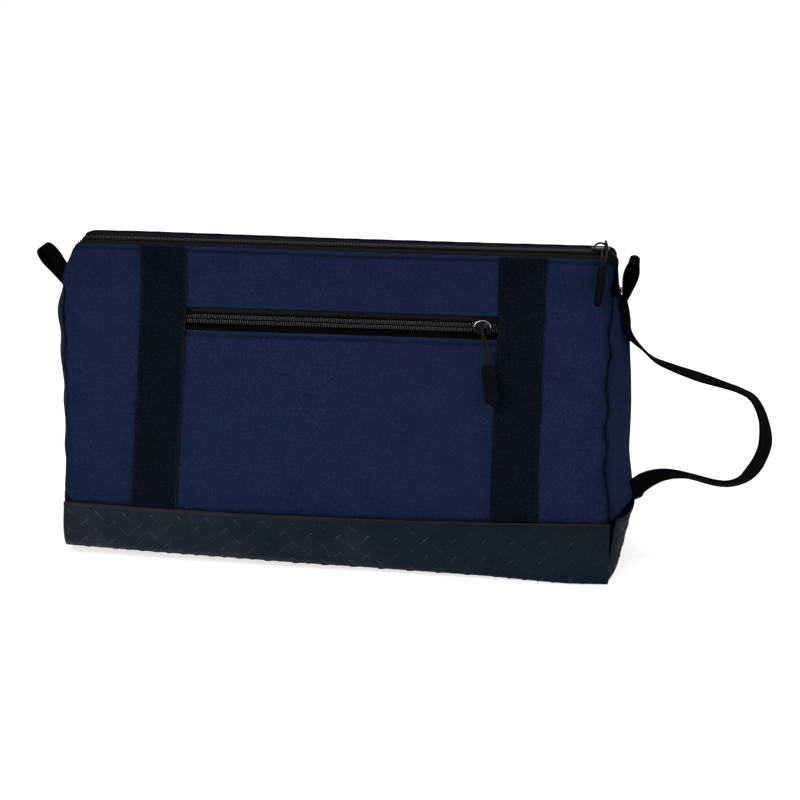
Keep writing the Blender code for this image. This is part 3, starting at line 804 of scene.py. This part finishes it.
def seam_shade(side, depth):
    """Painted shade along the hem, along the base and towards the corner seam at share 0 or 1."""
    def shade(share, z):
        beside = depth * near(share - side, 0.022) + 0.2 * near(share - side, 0.09)
        return min(beside + foot_shade(z) + hem_shade(z, HEM_HEIGHT), 0.95)
    return shade


def pocket_edge_shade(x, z):
    return hem_shade(z, WINDOW_LOW) + foot_shade(z)


def upper_edge_shade(x, z):
    return hem_shade(z, HEM_HEIGHT)


def back_shade(share, z):
    """Dark along the hem and beside the corner seams."""
    hem = ease(z, HEM_HEIGHT - 3 * MM, HEM_HEIGHT - MM)
    return 0.85 * max(hem, 1 - ease(min(share, 1 - share), 0.004, 0.03))


def gusset_shade(share, z):
    return min(0.9 * near(min(share, 1 - share), 0.025) + foot_shade(z), 0.95)


canvas("front_left", between(left_edge, fixed(-SEAM_X), front), edge_shares(22, True, False),
       full_rows, "front_left_panel", seam_shade(0, 0.35))
canvas("front_right", between(fixed(SEAM_X), panel_edge, front), edge_shares(22, False, True),
       full_rows, "front_right_panel", seam_shade(1, 0.9))
canvas("pocket", pocket_front, middle_columns,
       steps(PANEL_FOOT, WINDOW_LOW, CANVAS_ROW, WINDOW_LOW, BASE_HEIGHT),
       "pocket_front_panel", pocket_edge_shade)
canvas("upper", upper_front, middle_columns,
       steps(WINDOW_HIGH, HEM_HEIGHT, 3 * MM, WINDOW_HIGH, HEM_HEIGHT),
       "front_upper_panel", upper_edge_shade)
canvas("back", between(panel_edge, left_edge, back), edge_shares(110, True, True),
       full_rows, "back_panel", back_shade)


def gusset(side):
    """An end of the bag on shares across it, wrinkled towards its seams."""
    def surface(share, z):
        half = inner_half(z)
        y = side * mix(-half, half, share)
        edge = half - abs(y)
        waves = math.sin(z / (3.1 * MM) + 3 * rough(y, z, 25 * MM, 11 + side))
        waves *= 0.9 * MM * near(edge, 8 * MM)
        soft = 1.4 * MM * rough(y, z, 45 * MM, 13 * side) * min(edge / (15 * MM), 1.0)
        reach = end_reach(y, z, side) - TRIM_STACK + waves * min(edge / (3 * MM), 1.0) + soft
        return settle(Vector((side * reach, y, z)))
    return surface


gusset_rows = steps(PANEL_FOOT, ZIP_END_HEIGHT - CLEAR, 2.6 * MM)
for side, word in SIDES:
    canvas(f"gusset_{word}", gusset(side), edge_shares(36, True, True), gusset_rows,
           f"end_gusset_{word}", gusset_shade)

hem_line = HEM_HEIGHT - HEM_STITCH
for surface in (front, back):
    stitch_along(surface, (-CORNER_X + 2 * MM, hem_line), (CORNER_X - 2 * MM, hem_line))
pocket_line = WINDOW_LOW - HEM_STITCH
inner_x = SEAM_X - STRAP_WIDTH / 2
stitch_along(pocket_front, (-inner_x, pocket_line), (inner_x, pocket_line))

# Base: the wrap, its ends and the raised tread
section_rows = list(range(SECTION_STEPS, -1, -1))


def wrap_place(x, row):
    y, z = base_section(x)[row]
    across = max(1 - (y / (60 * MM)) ** 2, 0.0) * (1 - ease(z - base_lift(x), 0.0, 12 * MM))
    bow = 3.1 * MM * across * ease(abs(x), 140 * MM, HALF_LENGTH)
    return Vector((x + math.copysign(bow, x), y, z))


base_columns = [round(v, 5) for v in steps(-HALF_LENGTH, HALF_LENGTH, 4 * MM)]
finish(cloth("base_wrap_leather", wrap_place, base_columns, section_rows, LEATHER),
       LEATHER_LOOK, nodes=["base_wrap"])


def base_end(side):
    """An end trim on shares across it, from -1 to 1, and up it, down to the curve of the base."""
    section = np.array(base_section(round(side * HALF_LENGTH, 5)))
    back_half = section[SECTION_STEPS // 2:]
    widest = int(np.argmax(back_half[:, 0]))
    low_y, low_z = back_half[:widest + 1].T
    foot_half = float(low_y[-1]) - LEATHER - CLEAR
    top_half = inner_half(BASE_HEIGHT)
    bulge, fullness = (13 * MM, 3) if side > 0 else (9 * MM, 2)

    def surface(share, rise):
        foot = float(np.interp(abs(share) * foot_half, low_y, low_z)) + LEATHER + 2 * CLEAR
        y = share * mix(foot_half, top_half, rise)
        z = mix(foot, BASE_HEIGHT, rise)
        across = 1 - min(abs(share), 1.0) ** fullness
        reach = HALF_LENGTH + (bulge * mix(0.4, 1.0, rise) + base_hem(z)) * across
        return Vector((side * reach, side * y, z))
    return surface


END_CORNER = (0.885, 0.915, 0.935, 0.965, 0.98)
end_shares = sorted([*np.linspace(-1, 1, 41).tolist(), *END_CORNER, *(-share for share in END_CORNER)])
end_rows = np.linspace(0, 1, 18).tolist()


def corner_fold_shade(share, rise):
    """Painted shade in the fold beside the corner seam, wide at the top edge and gone at the foot."""
    return 0.97 * ease(abs(share) - mix(1.0, 0.885, rise), 0.0, 0.035) * ease(rise, 0.15, 0.5)


for side, word in SIDES:
    piece = cloth(f"base_end_{word}_leather", base_end(side), end_shares, end_rows, LEATHER,
                  painted_shade=corner_fold_shade)
    finish(piece, END_LOOK, nodes=[f"base_end_{word}"])


def raw_edge(x, run):
    """The cut edge of the leather's backing, along the top of the base."""
    return base_at(x, max(run, 0.0)) + Vector((0.0, -0.35 * MM, -min(run, 0.0)))


edge_rows = [0.8 * MM, 0.4 * MM, 0.0, -0.25 * MM]
finish(cloth("base_raw_edge", raw_edge, base_columns, edge_rows, 0.4 * MM, 0.0),
       RAW_EDGE)


def tread_frame(surface, a, b, slant, middle):
    """The frame of a bar of the tread, sunk a little into the base."""
    spot, along, out = facing(surface, a, b, middle)
    forward = Matrix.Rotation(slant, 3, out) @ along
    return axes(spot - out * 0.1 * MM, forward, out)


def tread_row(row):
    """The shift of a row of the tread and the slant of its bars."""
    return (row % 2) * TREAD_PITCH / 2, TREAD_SLANT * (1 if row % 2 else -1)


tread = []
run_end = float(base_lengths(0.0)[1][-1])
for row in range(int((run_end - 10 * MM) / TREAD_ROW)):
    run = 6.5 * MM + row * TREAD_ROW
    shift, slant = tread_row(row)
    for x in np.arange(-HALF_LENGTH + 5 * MM + shift, HALF_LENGTH - 4 * MM, TREAD_PITCH).tolist():
        limit = float(base_lengths(round(x, 5))[1][-1])
        bar = tread_frame(base_at, x, run, slant, Vector((x, 0.0, 25 * MM)))
        lowest = bar.translation.z - abs(bar[2][0]) * TREAD_LENGTH / 2
        if run < limit - 5 * MM and lowest > 0.3 * MM:
            tread.append(bar)
for side, _ in SIDES:
    surface = base_end(side)
    for row in range(5):
        shift, slant = tread_row(row)
        for y in np.arange(-46 * MM + shift, 47 * MM, TREAD_PITCH).tolist():
            share, rise = y / (62 * MM), 0.12 + 0.165 * row
            tread.append(tread_frame(surface, share, rise, slant, Vector((0.0, 0.0, 20 * MM))))
tread_bar = bead_model(10, 6, TREAD_LENGTH, TREAD_WIDTH, 2 * TREAD_RISE)
finish(copies("base_tread", tread_bar, tread), TREAD_LOOK)

stitch_along(base_at, (-HALF_LENGTH + MM, TRIM_STITCH), (HALF_LENGTH - MM, TRIM_STITCH))
for side, _ in SIDES:
    stitch_along(base_end(side), (-0.95, 0.9), (0.95, 0.9))

# Straps
strap_rows = steps(BASE_HEIGHT + CLEAR, HEM_HEIGHT - MM, 2.5 * MM)


def strap_face(x, z):
    return front(x, z) + PANEL_OUT * (CLEAR + WEBBING)


for side, word in SIDES:
    strap_x, half = side * SEAM_X, STRAP_WIDTH / 2
    piece = cloth(f"strap_{word}_webbing", strap_face, steps(strap_x - half, strap_x + half, 2.5 * MM),
                  strap_rows, WEBBING)
    finish(piece, STRAP_LOOK, nodes=[f"front_strap_{word}"])
    for reach in (-1, 1):
        x = strap_x + reach * (half - 1.8 * MM)
        stitch_along(strap_face, (x, BASE_HEIGHT + 3 * MM), (x, HEM_HEIGHT - 2 * MM))


# Zips
def tooth_model(length, width, height):
    """One turn of the coil: a rounded bar, long along Y, on the XY plane."""
    model = block((width, length, height), (0.0, 0.0, height / 2))
    round_edges(model, width * 0.36, 2)
    return model


def chain(name, frame_at, count, side, width, look, node):
    """Half a zip chain: teeth at each pitch, leaning like the turns of a coil."""
    place = Matrix.Translation((0.0, side * TOOTH_OFFSET, 0.0)) @ Matrix.Rotation(TOOTH_LEAN, 4, "Z")
    start = 0.5 if side > 0 else 0.0
    frames = [frame_at(index + start) @ place for index in range(count)]
    piece = copies(name, tooth_model(TOOTH_LENGTH, width, COIL_HEIGHT), frames)
    finish(piece, look, nodes=[node])


tape_in = CANVAS + CLEAR


def pocket_tape(x, z):
    ground = Vector((x, -front_depth(x, z) - 0.12 * ripple(x, POCKET_ZIP_HEIGHT), z))
    return settle(ground) - PANEL_OUT * tape_in


def pocket_chain_frame(index):
    spot = pocket_tape(-CHAIN_HALF + TOOTH_PITCH * index, POCKET_ZIP_HEIGHT)
    return axes(spot, Vector((1.0, 0.0, 0.0)), PANEL_OUT)


def pocket_shade(x, z):
    """Painted shade on the tape between the teeth and beside them."""
    return 0.93 * (1 - ease(abs(z - POCKET_ZIP_HEIGHT), 2.9 * MM, 6.5 * MM))


tape_columns = steps(-SEAM_X + MM, SEAM_X - MM, 3 * MM)
for side, word in ((1, "upper"), (-1, "lower")):
    ends = sorted(POCKET_ZIP_HEIGHT + side * reach for reach in (TAPE_GAP, 7 * MM + TAPE_LAP))
    piece = cloth(f"pocket_tape_{word}", pocket_tape, tape_columns, steps(*ends, 0.75 * MM), TAPE, 0.0,
                  pocket_shade)
    # The upper tape takes the painted lit copy and the lower one the painted shaded copy.
    finish(piece, TAPE_PAINTED_LIT if side > 0 else TAPE_SHADED, nodes=[f"pocket_zip_tape_{word}"])
    chain(f"pocket_teeth_{word}", pocket_chain_frame, int(2 * CHAIN_HALF / TOOTH_PITCH), side,
          POCKET_TOOTH, NYLON, f"pocket_zip_coil_{word}")

path_spots = np.array(ridge_path(TAPE_TOP, ZIP_END_HEIGHT + CLEAR))
path_runs = distances(path_spots[:, :2])
ridge_length = float(path_runs[-1])


def ridge_at(run):
    """A spot on the ridge at a distance along the zip, and the direction out of the bag there."""
    x, z, nx, nz = (float(np.interp(run, path_runs, column)) for column in path_spots.T)
    return Vector((x, 0.0, z)), Vector((nx, 0.0, nz)).normalized()


def ridge_waver(run):
    """The zip wanders a little up and down along the ridge."""
    ends = ease(run, 0.0, 50 * MM) * ease(ridge_length - run, 0.0, 60 * MM)
    return 0.2 * MM * noise.noise(Vector((run * 16, 4.2, 0.0))) * ends


def main_tape(side):
    """Half the main zip's tape, on distances along the zip and shares across it."""
    def surface(run, share):
        spot, out = ridge_at(run)
        reach = mix(TAPE_GAP, inner_half(min(spot.z, HEM_HEIGHT)), share)
        drop = 0.3 * MM * share + 1.5 * MM * ease(share, 0.8, 1.0)
        rise = ridge_waver(run) * (1 - share) - drop
        return settle(spot + out * rise + Vector((0.0, side * reach, 0.0)))
    return surface


def ridge_shade(run, share):
    """Painted shade on the tape beside the teeth, and where it turns down at the ends."""
    ends = 1 - ease(min(run, ridge_length - run), 14 * MM, 42 * MM)
    return max(0.93 * (1 - ease(share, 0.22, 0.42)), 0.92 * ends)


def ridge_chain_frame(index):
    run = CHAIN_INSET + TOOTH_PITCH * index
    spot, out = ridge_at(run)
    ahead = ridge_at(run + MM)[0] - ridge_at(run - MM)[0]
    return axes(settle(spot + out * ridge_waver(run)), ahead, out)


ridge_columns = steps(0.0, ridge_length, 2.5 * MM)
ridge_rows = np.linspace(0, 1, 12).tolist()
ridge_teeth = int((ridge_length - 2 * CHAIN_INSET) / TOOTH_PITCH)
for side, word in ((-1, "front"), (1, "back")):
    surface = main_tape(side)
    rows = ridge_rows if side > 0 else ridge_rows[::-1]
    finish(cloth(f"main_tape_{word}", surface, ridge_columns, rows, TAPE, 0.0, ridge_shade),
           RIDGE_TAPE, nodes=[f"main_zip_tape_{word}"])
    chain(f"main_teeth_{word}", ridge_chain_frame, ridge_teeth, side, RIDGE_TOOTH, RIDGE_NYLON,
          f"main_zip_coil_{word}")
    stitch_along(surface, (20 * MM, 0.78), (ridge_length - 20 * MM, 0.78))


# Sliders and pulls
def softened(node, name, width, shift=(0.0, 0.0, 0.0)):
    """A copy of a CAD node with its edges rounded, moved by the shift."""
    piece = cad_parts[node].copy()
    piece.data = piece.data.copy()
    piece.data.transform(Matrix.Translation(shift))
    piece.name = name
    scene.collection.objects.link(piece)
    select_only(piece)
    bpy.ops.object.mode_set(mode="EDIT")
    bpy.ops.mesh.select_all(action="SELECT")
    bpy.ops.mesh.remove_doubles(threshold=1e-6)
    bpy.ops.mesh.dissolve_limited(angle_limit=math.radians(2))
    bpy.ops.object.mode_set(mode="OBJECT")
    round_edges(piece, width, 3, 35)
    bpy.ops.object.shade_smooth_by_angle(angle=math.radians(45))
    return piece


def cord(name, points, thickness=CORD_DIAMETER):
    """A cord or a wire through the points."""
    curve = bpy.data.curves.new(name, "CURVE")
    curve.dimensions = "3D"
    curve.bevel_depth = thickness / 2
    curve.bevel_resolution = 4
    curve.resolution_u = 6
    curve.use_fill_caps = True
    line = curve.splines.new("NURBS")
    line.points.add(len(points) - 1)
    line.use_endpoint_u = True
    line.order_u = 4
    for spot, co in zip(line.points, points):
        spot.co = (*co, 1.0)
    piece = bpy.data.objects.new(name, curve)
    scene.collection.objects.link(piece)
    select_only(piece)
    bpy.ops.object.convert(target="MESH")
    return bpy.context.object


def braid(name, points, length, body, nodes=()):
    """A braided cord through the points, with UVs along and round it in metres."""
    piece = cord(name, points)
    for layer in piece.data.uv_layers:
        for item in layer.data:
            item.uv = (item.uv[0] * length, item.uv[1] * math.pi * CORD_DIAMETER)
    finish(piece, BRAID, body, nodes)


def grip_piece(name, top, matrix):
    """A moulded grip, hanging towards -Y from the distance given, with a sunk panel in each face."""
    piece = block((GRIP_WIDTH, GRIP_LENGTH, GRIP_THICKNESS), (0.0, -top - GRIP_LENGTH / 2, 0.0))
    piece.name = name
    bpy.ops.object.mode_set(mode="EDIT")
    bpy.ops.mesh.select_all(action="SELECT")
    bpy.ops.mesh.subdivide(number_cuts=13)
    bpy.ops.object.mode_set(mode="OBJECT")
    for vert in piece.data.vertices:
        down = (-top - vert.co.y) / GRIP_LENGTH
        if down < 0.16:
            width = mix(0.62, 1.0, ease(down, 0.0, 0.16))
        else:
            width = math.sqrt(max(1 - max((down - 0.83) / 0.17, 0.0) ** 2, 0.03))
        vert.co.x *= width
        vert.co.z *= mix(0.72, 1.0, ease(width, 0.2, 0.9)) * mix(1.0, 0.94, down)
        sunk = ease(down, 0.2, 0.3) * (1 - ease(down, 0.78, 0.88))
        sunk *= ease(1 - abs(vert.co.x) / (3.2 * MM), 0.0, 0.5)
        if abs(vert.co.z) > 1.4 * MM:
            vert.co.z -= math.copysign(0.55 * MM * sunk, vert.co.z)
    round_edges(piece, 0.9 * MM, 3, 50)
    bpy.ops.object.shade_smooth()
    piece.data.transform(matrix)
    return piece


def cord_loop(reach):
    """A loop of cord over the crown, with both strands running out to the reach given."""
    over = [(0.0, CORD_WRAP * math.sin(turn), CORD_WRAP * math.cos(turn))
            for turn in np.linspace(0, math.pi, 9)]
    strands = []
    for low in (1, -1):
        run = []
        for share in (0.12, 0.25, 0.4, 0.55, 0.7, 0.85, 1.0):
            turn = math.pi / 2 * ease(share, 0.05, 0.75)
            wide = mix(CORD_WRAP, CORD_SPREAD, ease(share, 0.3, 1.0))
            run.append((low * wide * math.sin(turn), -reach * share, low * wide * math.cos(turn)))
        strands.append(run)
    return strands[0][::-1] + over + strands[1]


def turned(degrees, axis):
    return Matrix.Rotation(math.radians(degrees), 4, axis)


for node, shift in (("main_slider", (0.0, 0.0, -TAPE_SAG)), ("pocket_slider", (0.0, 0.0, 0.0))):
    finish(softened(node, f"{node}_metal", METAL_ROUND, shift), METAL, node, [node])

# The main pull's cord lies over the hem, and its grip hangs from there.
cord_seat = Matrix.Translation((MAIN_CORD_X, 0.0, TAPE_TOP))
cord_height = BAR_HEIGHT - 0.9 * MM
bend_up = HEM_HEIGHT + 1.5 * MM - TAPE_TOP
main_points = []
for x, y, z in cord_loop(MAIN_BEND):
    drop = (cord_height - bend_up) * ease(-y, 4.5 * MM, MAIN_BEND)
    main_points.append(cord_seat @ Vector((x, y, z + cord_height - drop)))
braid("main_pull_braid", main_points, 50 * MM, "main_slider", ["main_pull_cord"])
main_bend = cord_seat @ Matrix.Translation((0.0, -20.1 * MM, bend_up))
main_swing = main_bend @ turned(81, "X") @ turned(-6, "Z")
tail_points = [main_swing @ Vector((x * MM, y * MM, 0.0)) for x, y in (
    (1, 0.25), (1, -1), (0.9, -3), (0.8, -5), (0, -6.3), (-0.8, -5), (-0.9, -3), (-1, -1), (-1, 0.25))]
braid("main_pull_braid_end", tail_points, 15 * MM, "main_pull")
finish(grip_piece("main_pull_rubber", 4.1 * MM, main_swing @ turned(84, "Y")),
       RUBBER, "main_pull", ["main_pull_grip"])

# The pocket pull hangs from its slider's crown.
pocket_bar = Matrix.Translation(POCKET_BAR) @ Matrix.Rotation(math.pi / 2 - LEAN, 4, "X")
# A wire along the pocket slider's rim in the brighter metal: a painted highlight.
rim_seat = pocket_bar @ Matrix.Translation((0.0, 0.0, 3.2 * MM - BAR_HEIGHT))
rim = [rim_seat @ Vector((5.3 * MM * math.cos(turn), 4.3 * MM * math.sin(turn), 0.0))
       for turn in np.linspace(0.0, math.pi, 15)]
finish(cord("pocket_slider_rim_highlight", rim, 0.75 * MM), RIM_HIGHLIGHT_METAL, "pocket_slider")
pocket_swing = pocket_bar @ turned(-6, "X") @ turned(11, "Z")
pocket_points = [pocket_swing @ Vector(spot) for spot in cord_loop(24.5 * MM)]
braid("pocket_pull_braid", pocket_points, 55 * MM, "pocket_pull", ["pocket_pull_cord"])
finish(grip_piece("pocket_pull_rubber", 24.3 * MM, pocket_swing),
       RUBBER, "pocket_pull", ["pocket_pull_grip"])


# Handle and tabs
def smooth_path(spots, step):
    """Places at about the step along a smooth curve through the spots."""
    spots = [Vector(spot) for spot in spots]
    ends = [spots[0] * 2 - spots[1]] + spots + [spots[-1] * 2 - spots[-2]]
    made = []
    for a, b, c, d in zip(ends, ends[1:], ends[2:], ends[3:]):
        count = max(int((c - b).length / step), 2)
        for k in range(count):
            t = k / count
            made.append(0.5 * ((2 * b) + (c - a) * t + (2 * a - 5 * b + 4 * c - d) * t * t
                               + (3 * b - a - 3 * c + d) * t ** 3))
    return made + [spots[-1]]


def ribbon_place(path, twist):
    """Webbing along a path in the XZ plane, turned by twist(share) about its own line."""
    last = len(path) - 1

    def place(across, index):
        index = min(max(index, 0.0), float(last))
        low = int(min(index, last - 1))
        spot = mix(path[low], path[low + 1], index - low)
        ahead = path[min(low + 1, last)] - path[max(low - 1, 0)]
        forward = Vector((ahead.x, 0.0, ahead.y)).normalized()
        out = Vector((-forward.z, 0.0, forward.x))
        angle = twist(index / last)
        side = Vector((0.0, 1.0, 0.0)) * math.cos(angle) + out * math.sin(angle)
        return Vector((spot.x, 0.0, spot.y)) + side * across
    return place


end_out = CLEAR + WEBBING - TRIM_STACK


def sewn(*heights):
    """Places of the handle's sewn ends on the right end of the bag, at heights in millimetres."""
    return [(end_reach(0.0, z * MM, 1) + end_out, z * MM) for z in heights]


HANDLE_BOW = (
    (21, 131), (33.5, 125), (50, 119.5), (65.5, 115), (79, 110.5), (87, 105), (92.5, 95), (95, 83),
    (95, 73), (91, 62), (84, 52), (74.5, 47.5), (64, 47.5), (46.5, 51.5), (33.5, 52), (24, 49.5),
    (17.5, 45.5))
HANDLE_TURNS = (
    (0.05, 0), (0.12, -11), (0.16, -11), (0.21, -7), (0.29, -3), (0.38, -8), (0.42, -7), (0.46, 2),
    (0.53, 13), (0.58, 22), (0.64, 28), (0.7, 25), (0.82, 23), (0.87, 30), (0.91, 36), (0.94, 39),
    (0.97, 36), (1, 26))
bow_spots = [(HALF_LENGTH + out * MM, z * MM) for out, z in HANDLE_BOW]
handle_path = smooth_path(sewn(167.9, 160, 152, 146) + bow_spots + sewn(40, 34), 3 * MM)


def handle_twist(share):
    return math.radians(float(np.interp(share, *zip(*HANDLE_TURNS))))


handle_face = ribbon_place(handle_path, handle_twist)
right_gusset = gusset(1)


def handle_place(across, index):
    """The handle's webbing, whose sewn top end lies on the right gusset."""
    spot = handle_face(across, index)
    share = min(max((spot.y / inner_half(spot.z) + 1) / 2, 0.0), 1.0)
    lying = right_gusset(share, min(spot.z, ZIP_END_HEIGHT - CLEAR))
    lying.x += WEBBING + CLEAR
    return mix(spot, lying, 0.5 * ease(spot.z, 136 * MM, 150 * MM))


handle_columns = steps(-HANDLE_WIDTH / 2, HANDLE_WIDTH / 2, 2.5 * MM)
handle_rows = list(range(len(handle_path)))[::-1]
handle = cloth("handle_webbing", handle_place, handle_columns, handle_rows, WEBBING)
finish(handle, HANDLE_LOOK, None,
       ["handle_bow", "handle_top_end", "handle_bottom_end"])
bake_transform(handle)


def tab(word, side, length, lean, root, half, pinch, tail):
    """A folded loop of webbing at the end of the zip, half as wide as given at its front edge.

    Under its top, its legs are drawn together at its back edge, to the share given by pinch. Its tail
    is sewn into the bag and stays with it."""
    foot = WEBBING + CLEAR
    leg = [(foot, -tail), (mix(foot, half, 0.5), length * 0.25), (half, length * 0.58),
           (half * 0.92, length * 0.8), (half * 0.6, length * 0.95), (0.0, length)]
    path = smooth_path(leg + [(-x, z) for x, z in reversed(leg[:-1])], 1.2 * MM)
    seat = Matrix.Translation(settle(Vector(root))) @ turned(side * lean, "Y")
    face = ribbon_place(path, lambda share: 0.0)
    closed = WEBBING * 0.98

    def place(across, index):
        spot = face(across, index)
        back_edge = (across / TAB_WIDTH + 0.5) * (1 - ease(spot.z / length, 0.72, 0.97))
        drawn = abs(spot.x) * mix(1.0, pinch, back_edge)
        spot.x = math.copysign(max(drawn, min(abs(spot.x), closed)), spot.x)
        return seat @ spot

    piece = cloth(f"tab_{word}_webbing", place,
                  steps(-TAB_WIDTH / 2, TAB_WIDTH / 2, 2.5 * MM), list(range(len(path))), WEBBING)
    finish(piece, HANDLE_LOOK, None if tail else f"tab_{word}", [f"tab_{word}"])
    if tail:
        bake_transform(piece)


tab("right", 1, 25.5 * MM, 12.5, (178.8 * MM, 0.0, 169.0 * MM), 5.1 * MM, 0.2, 0.0)
tab("left", -1, 25 * MM, 38, (-175.4 * MM, 0.0, 171.3 * MM), 3.8 * MM, 1.0, 7 * MM)


# Pocket lining, the board and the stops
def backing(x, z):
    """The pocket's inner cloth, hollow inside its seams."""
    across = ease(SEAM_X - abs(x), POCKET_SEAM, 16 * MM)
    along = 1 - ease(z, WINDOW_HIGH + POCKET_SEAM, WINDOW_HIGH + 16 * MM)
    lining = (tape_in + TAPE + CLEAR) / math.cos(LEAN)
    soft = 0.8 * MM * rough(x, z, 30 * MM, 31) * across
    inwards = lining + 1.2 * MM + 8 * MM * across * along + soft
    return settle(Vector((x, inwards - front_depth(x, z), z)))


finish(cloth("pocket_lining", backing, steps(-SEAM_X + POCKET_SEAM, SEAM_X - POCKET_SEAM, 5 * MM),
             steps(BASE_HEIGHT + 2 * MM, WINDOW_HIGH + 16 * MM, 4 * MM), 0.8 * MM, 0.0),
       LINING, nodes=["pocket_backing"])


def board_place(x, share):
    """The stiff sheet in the base, which follows its underside."""
    inside = base_section(round(x, 5))[WALL_STEPS + BEND_STEPS][0] + BOARD_INSET
    return Vector((x, mix(inside, -inside, share), base_lift(x) + LEATHER + CLEAR + BOARD))


board_columns, board_rows = steps(-BOARD_HALF, BOARD_HALF, 8 * MM), np.linspace(0, 1, 9).tolist()
finish(cloth("base_stiffener", board_place, board_columns, board_rows, BOARD),
       STIFFENER, nodes=["base_board"])
for node in [f"{zip_name}_zip_stop_{word}" for zip_name in ("main", "pocket") for _, word in SIDES]:
    corners = [Vector(corner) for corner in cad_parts[node].bound_box]
    center = sum(corners, Vector()) / len(corners)
    finish(softened(node, f"{node}_metal", 0.2 * MM, settle(center) - center), METAL,
           nodes=[node])

finish(copies("stitching", bead_model(8, 5, *STITCH_SIZE), stitch_lines), THREAD)

# Floor, light and camera
WHITE = (1.0, 1.0, 1.0, 1.0)
PAPER = (0.95, 0.95, 0.95, 1.0)
GLOW = 1.35
GLOW_SHARE = 0.55
SKY_LIGHT = 0.55
deselect()
bpy.ops.mesh.primitive_plane_add(size=12.0)
floor = bpy.context.object
floor.name = "floor"
floor_look = bpy.data.materials.new("pale_floor")
floor_look.use_nodes = True
tree = floor_look.node_tree
tree.nodes.clear()
paper = add_node(tree, "ShaderNodeBsdfDiffuse", {"Color": PAPER})
glow = add_node(tree, "ShaderNodeEmission", {"Color": WHITE, "Strength": GLOW})
rays = add_node(tree, "ShaderNodeLightPath").outputs
seen = maths(tree, "MULTIPLY", rays["Is Camera Ray"], GLOW_SHARE)
blended = add_node(tree, "ShaderNodeMixShader", {0: seen, 1: paper.outputs[0], 2: glow.outputs[0]})
add_node(tree, "ShaderNodeOutputMaterial", {"Surface": blended.outputs[0]})
floor.data.materials.append(floor_look)

world = bpy.data.worlds.new("studio")
scene.world = world
world.use_nodes = True
tree = world.node_tree
tree.nodes.clear()
rays = add_node(tree, "ShaderNodeLightPath").outputs
level = add_node(tree, "ShaderNodeMix", {"Factor": rays["Is Camera Ray"], "A": SKY_LIGHT, "B": 1.0})
sky = add_node(tree, "ShaderNodeBackground", {"Color": WHITE, "Strength": level.outputs[0]})
add_node(tree, "ShaderNodeOutputWorld", {"Surface": sky.outputs[0]})


LAMP_TARGET = Vector((0.0, 0.0, 0.1))


def softbox(name, spot, size, power):
    """A round soft lamp that shines on the middle of the bag."""
    light = bpy.data.lights.new(name, "AREA")
    light.shape = "DISK"
    light.size = size
    light.energy = power
    lamp = bpy.data.objects.new(name, light)
    lamp.location = spot
    lamp.rotation_euler = (LAMP_TARGET - Vector(spot)).to_track_quat("-Z", "Y").to_euler()
    scene.collection.objects.link(lamp)


softbox("key", (-0.9, -1.5, 1.7), 1.2, 34.0)
softbox("fill", (1.4, -1.3, 1.0), 1.4, 12.0)
softbox("top", (0.1, 0.4, 1.9), 1.4, 18.0)

AZIMUTH = math.radians(7.62)
ELEVATION = math.radians(15.82)
DISTANCE = 1.6
AIM = (34.99 * MM, 90.89 * MM)
FOCAL_PIXELS = 2427.55
IMAGE_PIXELS = 800
SENSOR = 36.0
to_camera = Vector((math.sin(AZIMUTH) * math.cos(ELEVATION), -math.cos(AZIMUTH) * math.cos(ELEVATION),
                    math.sin(ELEVATION)))
sideways = Vector((math.cos(AZIMUTH), math.sin(AZIMUTH), 0.0))
aim = sideways * AIM[0] + to_camera.cross(sideways) * AIM[1]
camera_data = bpy.data.cameras.new("camera")
camera_data.lens = FOCAL_PIXELS / IMAGE_PIXELS * SENSOR
camera_data.sensor_width = SENSOR
camera = bpy.data.objects.new("camera", camera_data)
camera.location = aim + to_camera * DISTANCE
camera.rotation_euler = (-to_camera).to_track_quat("-Z", "Y").to_euler()
scene.collection.objects.link(camera)
scene.camera = camera
scene.view_settings.view_transform = "Standard"
